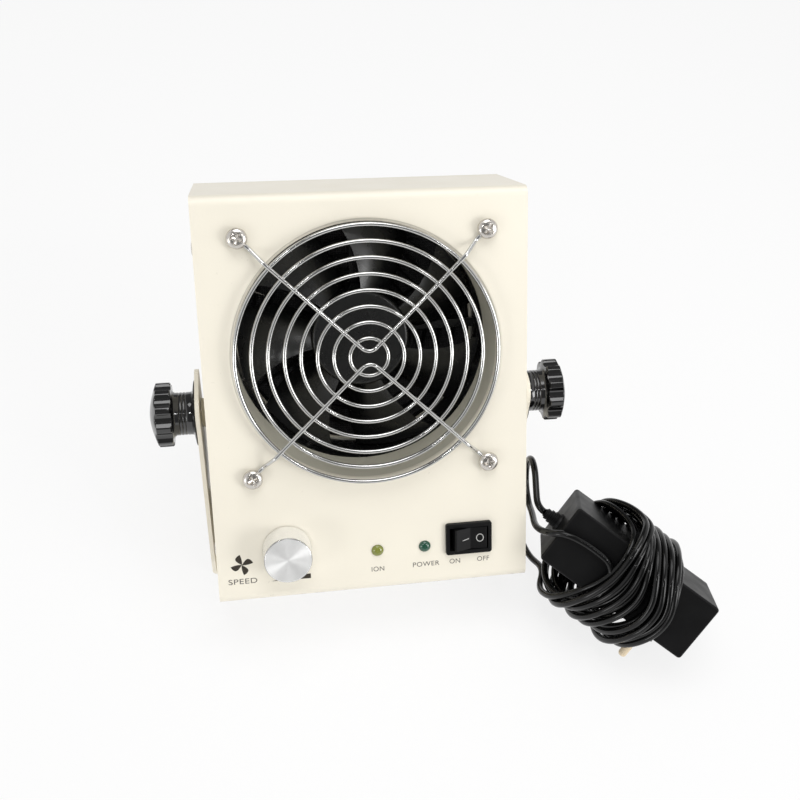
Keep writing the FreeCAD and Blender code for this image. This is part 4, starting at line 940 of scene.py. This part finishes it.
    def hang(self, lamp: Lamp) -> None:
        """Hangs one lamp, turned to the object.

        Args:
            lamp: the lamp.
        """
        data = bpy.data.lights.new(lamp.name, "AREA")
        data.size, data.energy = lamp.size, lamp.power
        piece = into_scene(lamp.name, data)
        piece.location = lamp.spot
        way = Vector(self.aim) - Vector(lamp.spot)
        piece.rotation_euler = way.to_track_quat("-Z", "Y").to_euler()

    def build(self) -> None:
        """Floor, surround, arch and lamps."""
        self.floor()
        self.world()
        self.dark_arch()
        for lamp in self.lamps:
            self.hang(lamp)
        bpy.context.scene.view_settings.view_transform = "Standard"
        LOG.info("studio ready")


# ------------------------------------------------------------------ the lead
@dataclass
class Lead:
    """The adapter's thin lead: from the head's plug, over the table, round the adapter."""

    diameter: float = 3.2
    sides: int = 12
    from_plug: tuple[Spot, ...] = (
        (45.0, 18.11, 17.57), (45.0, 28.5, 11.57), (47.0, 41.0, 5.4), (55.5, 50.5, 2.0),
        (67.5, 50.5, 1.9), (77.0, 41.5, 1.9), (81.5, 24.0, 1.9), (82.4, 2.0, 1.9),
        (81.4, -20.0, 1.9), (82.6, -36.5, 4.6), (86.5, -49.5, 12.5))
    to_relief: tuple[Spot, ...] = (
        (104.2, -85.4, 49.0), (104.6, -80.2, 55.9), (99.5, -75.8, 58.9), (93.5, -71.6, 61.9),
        (84.8, -67.4, 65.0), (78.0, -63.4, 61.0), (75.8, -52.5, 51.4), (79.0, -38.0, 43.0),
        (80.2, -27.5, 37.0), (80.6, -16.5, 40.3), (80.8, -12.5, 50.3), (80.6, -17.0, 60.5),
        (79.8, -27.5, 63.5), (78.6, -37.0, 60.3), (77.88, -44.97, 56.89),
        (81.17, -47.23, 55.28))
    # beside the bracket's arm the lead passes over from the head to the stand
    with_head: Spot = (78.0, 22.0, 1.9)
    with_stand: Spot = (90.0, -12.0, 5.0)
    on_it: tuple[str, ...] = ("dc_plug", "adapter_front_shell", "adapter_back_shell",
                              "plug_block", "plug_pins", "adapter_relief")
    adapter_centre: Spot = (117.8, -72.5, 37.3)
    adapter_long: Spot = (0.7631988, -0.5264956, -0.3746066)
    adapter_wide: Spot = (0.5939253, 0.3432266, 0.7276320)
    adapter_thick: Spot = (-0.2545201, -0.7778161, 0.5746491)
    points_per_turn: int = 16
    turns: float = 17.2
    first_angle: float = 196.0
    sag: float = 3.0
    layer: float = 3.3
    hang: float = 3.0
    hang_angle: float = 195.0
    sway: float = 0.5
    ripple: float = 0.3
    lift: float = 0.3
    # round the adapter: the angles of the stations and the radius of the lowest layer there
    stations: tuple[float, ...] = (150.0, 80.0, 48.0, 15.0, 335.0, 280.0, 210.0)
    hug: tuple[float, ...] = (24.5, 23.0, 27.2, 23.5, 23.0, 23.0, 26.0)
    start: Flat = (-27.0, 33.0)
    # each turn's place along the adapter and its layer, station by station
    table: tuple[tuple[float, ...], ...] = (
        (-20, 0, -11, 0, -12, 0, -15, 0, -27, 0, -30, 0, -30, 0),
        (-15, 0, -7, 0, -9, 0, -12, 0, -22.5, 0, -25, 0, -25, 0),
        (-10, 0, -2.5, 0, -6.5, 0, -9, 0, -18, 0, -20, 0, -20, 0),
        (-5, 0, 2, 0, -4, 0, -6, 0, -13.5, 0, -15, 0, -15, 0),
        (0, 0, 6.5, 0, -1.5, 0, -3, 0, -9, 0, -10, 0, -10, 0),
        (5, 0, 11, 0, 1.5, 0, 0.5, 0, -4.5, 0, -5, 0, -5, 0),
        (9, 0, 15.5, 0, 5.5, 0, 4.5, 0, 1, 0, 0, 0, 0, 0),
        (12, 0, 19.5, 0, 10.5, 0, 8.5, 0, 6.5, 0, 5, 0, 5, 0),
        (14.5, 0, 22, 0, 15, 0, 12.5, 0, 11.5, 0, 10, 0, 10, 0),
        (15, 1, 20.5, 1, 12, 1, 10.5, 1, 9, 1, 7.5, 1, 7.5, 1),
        (12.5, 1, 17.5, 1, 7.5, 1, 5, 1, 3.8, 1, 2.5, 1, 2.5, 1),
        (10, 1.3, 14, 1.5, 3.5, 1, 0, 1, -1.8, 1, -2.5, 1, -2.5, 1),
        (6, 1, 10, 1.7, 0, 1.3, -3, 1, -6.8, 1, -7.5, 1, -7.5, 1),
        (-2, 1, 4, 1, -3, 1.1, -6, 1, -12, 1, -12.5, 1, -12.5, 1),
        (-7, 1, -1, 1, -5.8, 1.7, -9.2, 1, -17, 1, -17.5, 1, -17.5, 1),
        (-12.5, 1, -5, 1, -8, 1.2, -7.6, 1.95, -21, 1, -22.5, 1, -22.5, 1),
        (-18.5, 1, -9.5, 1.2, -10.5, 1.8, -11, 1.95, -25, 1, -27.5, 1, -27.5, 1))
    # turn, place and radius of the last two stations
    last: tuple[float, ...] = (17.10, -14.0, 27.5, 17.20, -8.5, 25.0)

    def eased(self, turn: np.ndarray, keys: np.ndarray, values: np.ndarray) -> np.ndarray:
        """Values run on smoothly from key to key.

        Between two keys it is the cubic that meets both values with the slopes that
        neighbouring keys give them.

        Args:
            turn: where the values are wanted, in turns.
            keys: the turns at which they are known, rising.
            values: the known values.

        Returns:
            One value for each turn asked.
        """
        slopes = np.gradient(values, keys)
        i = np.clip(np.searchsorted(keys, turn) - 1, 0, len(keys) - 2)
        gap = keys[i + 1] - keys[i]
        u = np.clip((turn - keys[i]) / gap, 0, 1)
        return ((2 * u**3 - 3 * u**2 + 1) * values[i] + (u**3 - 2 * u**2 + u) * gap * slopes[i]
                + (3 * u**2 - 2 * u**3) * values[i + 1]
                + (u**3 - u**2) * gap * slopes[i + 1])

    def wound(self) -> np.ndarray:
        """Control points of the loose turns round the adapter, in millimetres.

        A turn is a ring about the adapter's long axis. Its place along the axis and its
        radius run smoothly through the table's stations, so the turns fan out, cross and
        draw together. On the hanging side a turn is larger by up to the hang, by a wave of its
        own. The rings' centre is a little below the adapter's, and no point is below the
        table.

        Returns:
            The (n, 3) points in the row frame, the plug's end of the lead first.
        """
        turn = np.arange(int(self.turns * self.points_per_turn) + 1) / self.points_per_turn
        angle = math.radians(self.first_angle) - 2 * math.pi * turn
        rows = np.array(self.table, float).reshape(-1, 2)
        rows[:, 1] = np.tile(self.hug, len(self.table)) + rows[:, 1] * self.layer
        part = ((self.first_angle - np.array(self.stations)) % 360.0) / 360.0
        keys = (np.arange(len(self.table))[:, None] + part).ravel()
        known = np.vstack([[0.0, *self.start], np.column_stack([keys, rows]),
                           np.reshape(self.last, (-1, 3))])
        along, radius = (self.eased(turn, known[:, 0], known[:, k]) for k in (1, 2))
        along = along + self.sway * np.sin(angle * 2 + turn * 1.7)
        below = np.clip(np.cos(angle - math.radians(self.hang_angle)), 0, 1) ** 2
        radius = radius + self.hang * below * (0.5 + 0.5 * np.sin(turn * 2.4))
        radius = radius + self.ripple * np.sin(angle * 3 + turn * 2.3)
        long, wide, thick = (np.array(a) for a in (self.adapter_long, self.adapter_wide,
                                                   self.adapter_thick))
        points = (np.array(self.adapter_centre) - [0.0, 0.0, self.sag]
                  + along[:, None] * long + (radius * np.cos(angle))[:, None] * wide
                  + (radius * np.sin(angle))[:, None] * thick)
        points[:, 2] = np.maximum(points[:, 2], self.diameter / 2 + self.lift)
        return points

    def build(self, finishes: Finishes) -> None:
        """Args:
            finishes: the built finishes.
        """
        control = np.vstack([self.from_plug, self.wound(), self.to_relief]) * MM
        path = read_curve(control, "lead_route")
        shell = Shell()
        shell.add_rings(tube_rings(path, self.diameter / 2 * MM, self.sides),
                        path[0], path[-1])
        piece = shell.piece("adapter_lead")
        finishes.put(piece, "lead_pvc")
        start, end = (tuple(np.array(p) * MM) for p in (self.with_head, self.with_stand))
        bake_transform(piece)
        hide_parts("plug_lead", "relief_lead", "lead_winding")
        [frame["nodes"][node] for node in self.on_it]


# ------------------------------------------------------------------ screws
@dataclass(frozen=True)
class PanScrew:
    """A pan-head screw with a cross recess, whose axis runs from its head along +Y."""

    radius: float = 4.4
    rise: float = 2.6
    shank: float = 2.0
    recess_reach: float = 2.5
    recess_width: float = 0.55
    recess_depth: float = 1.9
    recess_blur: float = 0.16
    rim_share: float = 0.22
    tip: float = 0.8
    rings: int = 36
    sides: int = 96

    def rings_of(self, length: float, turned: float) -> np.ndarray:
        """The screw's rings, from the head's middle to the end of its shank.

        The crown stands rise * (rim + (1 - rim) * sqrt(1 - share^3)) high at that share of
        the radius. The recess takes off its depth times a fall with the distance out along
        the nearer arm, and a soft step with the distance from that arm's middle line.

        Args:
            length: the shank's length, in millimetres.
            turned: the angle of the recess, in degrees.

        Returns:
            The rings, (n, sides, 3), in millimetres.
        """
        cos, sin = circle_of(self.sides)
        share = np.linspace(0.0, 1.0, self.rings + 1)[1:, None] ** 0.85
        x, z = self.radius * share * cos, self.radius * share * sin
        a = math.radians(turned)
        u = np.abs(x * math.cos(a) + z * math.sin(a))
        v = np.abs(z * math.cos(a) - x * math.sin(a))
        out, off = np.maximum(u, v), np.minimum(u, v)
        fall = np.clip(1 - out / self.recess_reach, 0, 1) ** 0.45
        wall = np.clip((self.recess_width + self.recess_blur - off)
                       / (2 * self.recess_blur), 0, 1)
        crown = self.rise * (self.rim_share + (1 - self.rim_share)
                             * np.sqrt(np.clip(1 - share**3, 0, 1)))
        depth = -crown + self.recess_depth * fall * wall * wall * (3 - 2 * wall)
        head = np.stack([x, depth, z], axis=-1)
        below = np.array([(self.radius, 0.0), (self.shank, 0.0),
                          (self.shank, length - self.tip), (self.shank - 0.7, length)])
        rest = np.stack(np.broadcast_arrays(below[:, :1] * cos, below[:, 1:],
                                            below[:, :1] * sin), axis=-1)
        return np.concatenate([head, rest])

    def add_to(self, shell: Shell, spot: np.ndarray, turn: np.ndarray, length: float,
               turned: float) -> None:
        """Adds one screw of the upright head to a shell.

        Args:
            shell: the shell to add to.
            spot: the middle of its seat, in head-frame millimetres.
            turn: the 3x3 turn that takes +Y to its axis.
            length: the shank's length, in millimetres.
            turned: the angle of the recess, in degrees.
        """
        rings = self.rings_of(length, turned)
        middle = np.array([0.0, self.recess_depth - self.rise, 0.0])
        ends = np.array([middle, [0.0, length, 0.0]])
        rings, ends = (HEAD.place(p.reshape(-1, 3) @ turn.T + spot).reshape(p.shape)
                       for p in (rings, ends))
        shell.add_rings(rings, ends[0], ends[1])


@dataclass
class Screws:
    """All the screws of the head, put where the CAD nodes have theirs."""

    guard: PanScrew = PanScrew()
    case: PanScrew = PanScrew(radius=3.3, rise=0.82, shank=1.5, recess_reach=1.9,
                              recess_width=0.42, recess_depth=0.6, rings=24, sides=64)
    angles: tuple[float, ...] = (24.0, 71.0, 8.0, 52.0)
    # a depth of the head that lies between the front's screws and the rear's
    mid_depth: float = 20.0

    def solids(self, node: str, height: float) -> list[np.ndarray]:
        """Parts the points of a node's four screws.

        Args:
            node: the CAD node of the four screws.
            height: a height of the head between the lower and the upper ones.

        Returns:
            Each screw's points in the head frame, the left ones before the right ones and
            the lower before the upper.
        """
        points = HEAD.local(node_points(node))
        side, level = np.sign(points[:, 0]), np.sign(points[:, 2] - height)
        return [points[(side == a) & (level == b)] for a in (-1, 1) for b in (-1, 1)]

    def row(self, node: str, kind: PanScrew, axis: int, finishes: Finishes) -> None:
        """Replaces one node's four screws.

        Args:
            node: the CAD node of the four screws.
            kind: the screw.
            axis: the head's axis that they lie along, 0 across or 1 into the case.
            finishes: the built finishes.
        """
        shell = Shell()
        groups = self.solids(node, HEAD.fan_height if axis else 0.0)
        for group, turned in zip(groups, self.angles):
            low, high = group.min(0), group.max(0)
            spot = (low + high) / 2
            outward = np.sign(spot[axis] - (self.mid_depth if axis else 0.0))
            spot[axis] = (high if outward > 0 else low)[axis] - outward * kind.rise
            length = high[axis] - low[axis] - kind.rise
            way = np.zeros(3)
            way[axis] = -outward
            turn = np.stack([np.cross(way, UP), way, UP], axis=1)
            kind.add_to(shell, spot, turn, length, turned)
        piece = shell.piece(f"{node}_crossed", sharp=50.0)
        finishes.put(piece, "plated_steel")
        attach(piece, Body.HEAD.value)
        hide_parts(node)
        LOG.info("%s: %d screws", piece.name, len(groups))

    def build(self, finishes: Finishes) -> None:
        """The guards' screws and the case's side screws.

        Args:
            finishes: the built finishes.
        """
        for node, kind, axis in (("guard_screws", self.guard, 1),
                                 ("rear_guard_screws", self.guard, 1),
                                 ("case_screws", self.case, 0)):
            self.row(node, kind, axis, finishes)


# ------------------------------------------------------------------ clamp knobs
@dataclass(frozen=True)
class ClampKnob:
    """A fluted star knob with its hub and flange, moulded on the clamp's stud."""

    hub: float = 9.7
    hub_length: float = 10.4
    flange: float = 14.8
    flange_depth: float = 1.5
    radius: float = 14.6
    rim: float = 6.6
    dome: float = 3.6
    bore: float = 3.0
    bore_depth: float = 14.9
    flute: float = 3.9
    flute_reach: float = 16.6
    lobes: int = 10
    softness: float = 4.5
    grooves: int = 3
    groove_depth: float = 0.22
    groove_half: float = 0.35
    sides: int = 240

    def profile(self) -> np.ndarray:
        """Draws half of the knob's outline, from the bore's end to the crown.

        Returns:
            The (n, 2) distances out along the stud and radii, in millimetres.
        """
        hub, flange, deep, long = self.hub, self.flange, self.flange_depth, self.hub_length
        end = long + self.rim
        body = [(self.bore_depth, self.bore), (0.0, self.bore), (0.0, flange - 0.3),
                (0.1, flange - 0.06), (0.35, flange), (0.6, flange - 0.5),
                (deep - 0.2, hub + 0.6), (deep + 0.2, hub + 0.12), (deep + 1.0, hub)]
        for k in range(self.grooves):
            groove = long * (0.42 + 0.14 * k)
            body += [(groove - self.groove_half, hub), (groove, hub - self.groove_depth),
                     (groove + self.groove_half, hub)]
        body += [(long - 1.3, hub), (long - 0.4, hub + 0.6), (long, hub + 1.5),
                 (long, self.radius - 1.6), (long + 0.15, self.radius - 0.6),
                 (long + 0.6, self.radius - 0.08)]
        along = np.linspace(long + 1.0, end, 10)
        swell = self.radius - 0.06 * ((along - along.mean()) / (self.rim / 2)) ** 2
        r = self.radius * np.linspace(0.99, 0.04, 26)
        crown = end + self.dome * (1 - (r / self.radius) ** 1.75)
        return np.vstack([body, np.stack([along, swell], 1), np.stack([crown, r], 1)])

    def rings(self) -> np.ndarray:
        """Carries the outline round the X axis, and cuts the flutes into the grip.

        A flute is a circle of its radius at its reach from the axis, so along the angle d
        from its middle it lies at reach * cos d - sqrt(flute^2 - (reach * sin d)^2). The
        grip's radius is the soft least of the profile's and that, -log(e^-kr + e^-kf) / k,
        with both radii taken from a round number near them.

        Returns:
            The rings, (n, sides, 3), in millimetres.
        """
        path, near, far = self.profile(), 10.0, 1e3
        t = np.linspace(0, 2 * math.pi, self.sides, endpoint=False)
        pitch = 2 * math.pi / self.lobes
        d = (t + pitch / 2) % pitch - pitch / 2
        inside = self.flute**2 - (self.flute_reach * np.sin(d)) ** 2
        wall = np.where(inside > 0, self.flute_reach * np.cos(d)
                        - np.sqrt(np.maximum(inside, 0.0)), far)
        wall = np.minimum(wall, self.flute_reach * np.cos(d) + 1.0)
        k = self.softness
        r = path[:, 1][:, None]
        soft = -np.log(np.exp(-k * (r - near)) + np.exp(-k * (wall[None] - near))) / k + near
        grip = (path[:, 0] >= self.hub_length - 1e-6)[:, None] & (r > self.hub + 2.0)
        r = np.where(grip, soft, r)
        return np.stack(np.broadcast_arrays(path[:, :1], r * np.cos(t), r * np.sin(t)), -1)

    def build(self, side: Side, finishes: Finishes) -> None:
        """Makes one knob in the place of its CAD node.

        Args:
            side: the side of the head that it is on.
            finishes: the built finishes.
        """
        label = f"{side.name.lower()}_clamp"
        low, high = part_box(f"{label}_knob")
        base = np.array([(low if side is Side.RIGHT else high)[0], *HEAD.pivot[1:]])
        out = np.array([side.value * MM, 0.0, 0.0])
        shell = Shell()
        shell.add_rings(self.rings() * MM * [side.value, side.value, 1.0] + base,
                        base + out * self.bore_depth,
                        base + out * (self.hub_length + self.rim + self.dome))
        piece = shell.piece(f"{label}_star_knob", sharp=38.0)
        finishes.put(piece, "knob_plastic")
        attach(piece, Body(label).value)
        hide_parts(f"{label}_knob")
        LOG.info("%s: %d lobes", piece.name, self.lobes)


# ------------------------------------------------------------------ lettering
Place = Callable[[np.ndarray, float], np.ndarray]
INK_STAND = 0.05


def printed(name: str, left: np.ndarray, right: np.ndarray, place: Place,
            closed: bool = False) -> bpy.types.Object:
    """A thin printed band between two lines of the same count of points.

    The band's front is the quads between the lines, stood off the surface, its back is the
    same on the surface, and strips join them round the sides and, unless it is closed on
    itself, the ends.

    Args:
        name: the piece's name.
        left: (n, 2) points across and up the surface, in millimetres.
        right: (n, 2) points of the other line.
        place: gives the row-frame points of such points at a stand-off.
        closed: whether the last points run on to the first.

    Returns:
        The printed piece.
    """
    loop = np.stack([place(left, INK_STAND), place(left, 0.0), place(right, 0.0),
                     place(right, INK_STAND)], axis=1)
    n = len(left)
    if closed:
        faces = [grid_faces(n + 1, 4, True) % (n * 4)]
    else:
        ends = np.array([[0, 1, 2, 3], [n * 4 - 1, n * 4 - 2, n * 4 - 3, n * 4 - 4]])
        faces = [grid_faces(n, 4, True), ends]
    shell = Shell()
    shell.add(loop.reshape(-1, 3), faces)
    return shell.piece(name, smooth=False)


def inked(pieces: Iterable[bpy.types.Object], ink: bpy.types.Material, body: Body) -> None:
    """Gives printed pieces their ink, and has them ride on a body.

    Args:
        pieces: the pieces.
        ink: the ink's material.
        body: the body that carries them.
    """
    for piece in pieces:
        piece.data.materials.clear()
        piece.data.materials.append(ink)
        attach(piece, body.value)


@dataclass(frozen=True)
class Word:
    """One printed word of the panel: its middle, how wide it is drawn and its height."""

    text: str
    across: float
    up: float
    width: float = 1.0
    size: float = 3.27


@dataclass
class PanelMarks:
    """The printed words and signs of the control panel."""

    proud: float = 0.06
    spacing: float = 1.06
    thinned: float = 0.012
    half_thick: float = 0.03
    words: tuple[Word, ...] = (
        Word("SPEED", -59.7, -80.3, 1.28, 3.6), Word("ION", 1.0, -80.3),
        Word("POWER", 23.2, -80.0, 1.07), Word("ON", 36.8, -79.9), Word("OFF", 50.1, -79.9))
    fan_spot: Flat = (-59.7, -72.2)
    blade_length: float = 5.0
    blade_bulge: float = 2.35
    blade_back: float = 0.35
    blade_turn: float = 7.0
    wedge: tuple[Flat, ...] = (
        (-47.3, -81.4), (-29.5, -81.6), (-29.5, -79.3), (-33.0, -79.4))

    def word(self, word: Word) -> bpy.types.Object:
        """Prints one word, centred at its spot of the panel.

        Args:
            word: the word.

        Returns:
            The word as a mesh piece.
        """
        data = bpy.data.curves.new(word.text, "FONT")
        data.body = word.text
        data.align_x, data.align_y = "CENTER", "CENTER"
        data.size, data.space_character = word.size * MM, self.spacing
        data.offset, data.extrude = -self.thinned * MM, self.half_thick * MM
        plain = into_scene("text", data)
        bpy.context.view_layer.update()
        mesh = bpy.data.meshes.new_from_object(plain)
        bpy.data.objects.remove(plain)
        up = Matrix.Rotation(math.pi / 2, 4, "X") @ Matrix.Diagonal((word.width, 1, 1, 1))
        mesh.transform(HEAD.matrix(word.across, -self.proud / 2, word.up) @ up)
        return into_scene(f"label_{word.text.lower()}", mesh)

    def on_panel(self, flat: np.ndarray, stand: float) -> np.ndarray:
        """Row-frame points of panel points that stand off its face."""
        return HEAD.place(np.stack([flat[:, 0], np.full(len(flat), -stand), flat[:, 1]], 1))

    def fan_blades(self) -> list[bpy.types.Object]:
        """Four leaf-shaped blades that meet at a point.

        Along a blade's axis, from 0 at the middle to 1 at the tip, its back edge is a shallow
        half sine on one side, and its bulge a half sine of the share to the power 1.35, drawn
        fuller by the power 0.75, on the other.

        Returns:
            The four printed blades.
        """
        t = np.linspace(0.02, 1.0, 18)
        bulge = self.blade_bulge * np.sin(np.pi * np.minimum(t**1.35, 1.0)) ** 0.75
        bulge[-1] = 0.0
        back = -self.blade_back * np.sin(np.pi * t**0.8)
        along = self.blade_length * t
        made = []
        for blade in range(4):
            a = math.radians(self.blade_turn + 90.0 * blade)
            axis = np.array([math.cos(a), math.sin(a)])
            side = np.array([-math.sin(a), math.cos(a)])
            lines = [along[:, None] * axis + off[:, None] * side + self.fan_spot
                     for off in (bulge, back)]
            made.append(printed(f"fan_mark_{blade + 1}", *lines, self.on_panel))
        return made

    def speed_wedge(self) -> bpy.types.Object:
        """Prints the rising wedge beside the dial, a band between its two long edges.

        Returns:
            The printed wedge.
        """
        a, b, c, d = (np.array(p) for p in self.wedge)
        t = np.linspace(0, 1, 12)[:, None]
        low = a + (b - a) * t
        reach = np.array([a, d, c])
        top = np.stack([np.interp(low[:, 0], reach[:, 0], reach[:, k]) for k in (0, 1)], 1)
        return printed("speed_wedge", top, low, self.on_panel)

    def build(self, dark: bpy.types.Material, brown: bpy.types.Material) -> None:
        """Prints every word and sign, riding on the head.

        Args:
            dark: the ink of the words.
            brown: the ink of the signs.
        """
        words = [self.word(word) for word in self.words]
        signs = self.fan_blades() + [self.speed_wedge()]
        inked(words, dark, Body.HEAD)
        inked(signs, brown, Body.HEAD)
        LOG.info("printed %d words and %d signs", len(words), len(signs))


@dataclass
class RockerMarks:
    """The white bar and ring on the two faces of the rocker."""

    seat: Spot = (43.2, 3.5, -68.4)
    lean: float = math.radians(8.0)
    half_width: float = 7.7
    top: float = -6.7
    hollow: float = 1.6
    stroke: float = 0.36
    bar_spot: Flat = (-2.45, -0.2)
    bar_length: float = 3.3
    bar_tilt: float = math.radians(8.0)
    ring_spot: Flat = (4.28, 0.0)
    ring_size: Flat = (1.72, 1.98)

    def on_rocker(self, flat: np.ndarray, stand: float) -> np.ndarray:
        """Row-frame points of the rocker's two sloping faces.

        A point lies hollow * (1 - |x| / half width) below the faces' outer ends, then turns
        with the rocker about its axle.

        Args:
            flat: (n, 2) points across and up the rocker, in millimetres.
            stand: how far they stand off the faces, in millimetres.

        Returns:
            The (n, 3) points in the row frame, in metres.
        """
        x, z = flat[:, 0], flat[:, 1]
        y = self.top + self.hollow * (1 - np.abs(x) / self.half_width) - stand
        c, s = math.cos(self.lean), math.sin(self.lean)
        return HEAD.place(np.stack([x * c - y * s, x * s + y * c, z], 1) + self.seat)

    def build(self, white: bpy.types.Material) -> None:
        """Prints the bar and the ring, riding on the rocker.

        Args:
            white: the ink of both.
        """
        t = np.linspace(-0.5, 0.5, 8)[:, None]
        way = np.array([math.cos(self.bar_tilt), math.sin(self.bar_tilt)])
        line = self.bar_spot + t * self.bar_length * way
        aside = np.array([-way[1], way[0]]) * self.stroke / 2
        circle = np.stack(circle_of(48), 1)
        outer, inner = (circle * (np.array(self.ring_size) - less) + self.ring_spot
                        for less in (0.0, self.stroke))
        pieces = [printed("rocker_bar", line + aside, line - aside, self.on_rocker),
                  printed("rocker_ring", outer, inner, self.on_rocker, closed=True)]
        inked(pieces, white, Body.ROCKER)
        LOG.info("printed %d rocker marks", len(pieces))


def main() -> None:
    """Builds the scene in order: camera, lead, finishes, screws, knobs, marks, studio."""
    logging.basicConfig(level=logging.INFO, format="%(name)s: %(message)s")
    studio = Studio()
    studio.camera()
    finishes = Finishes()
    Lead().build(finishes)
    finishes.dress()
    Screws().build(finishes)
    for side in Side:
        ClampKnob().build(side, finishes)
    PanelMarks().build(Ink("Grey print", (0.075, 0.068, 0.06), (0.20, 0.185, 0.16)).build(),
                       Ink("Brown print", (0.026, 0.019, 0.010), (0.07, 0.055, 0.04)).build())
    RockerMarks().build(Ink("White print", (0.50, 0.50, 0.48), (0.33, 0.33, 0.32)).build())
    studio.build()


if __name__ == "__main__":
    main()
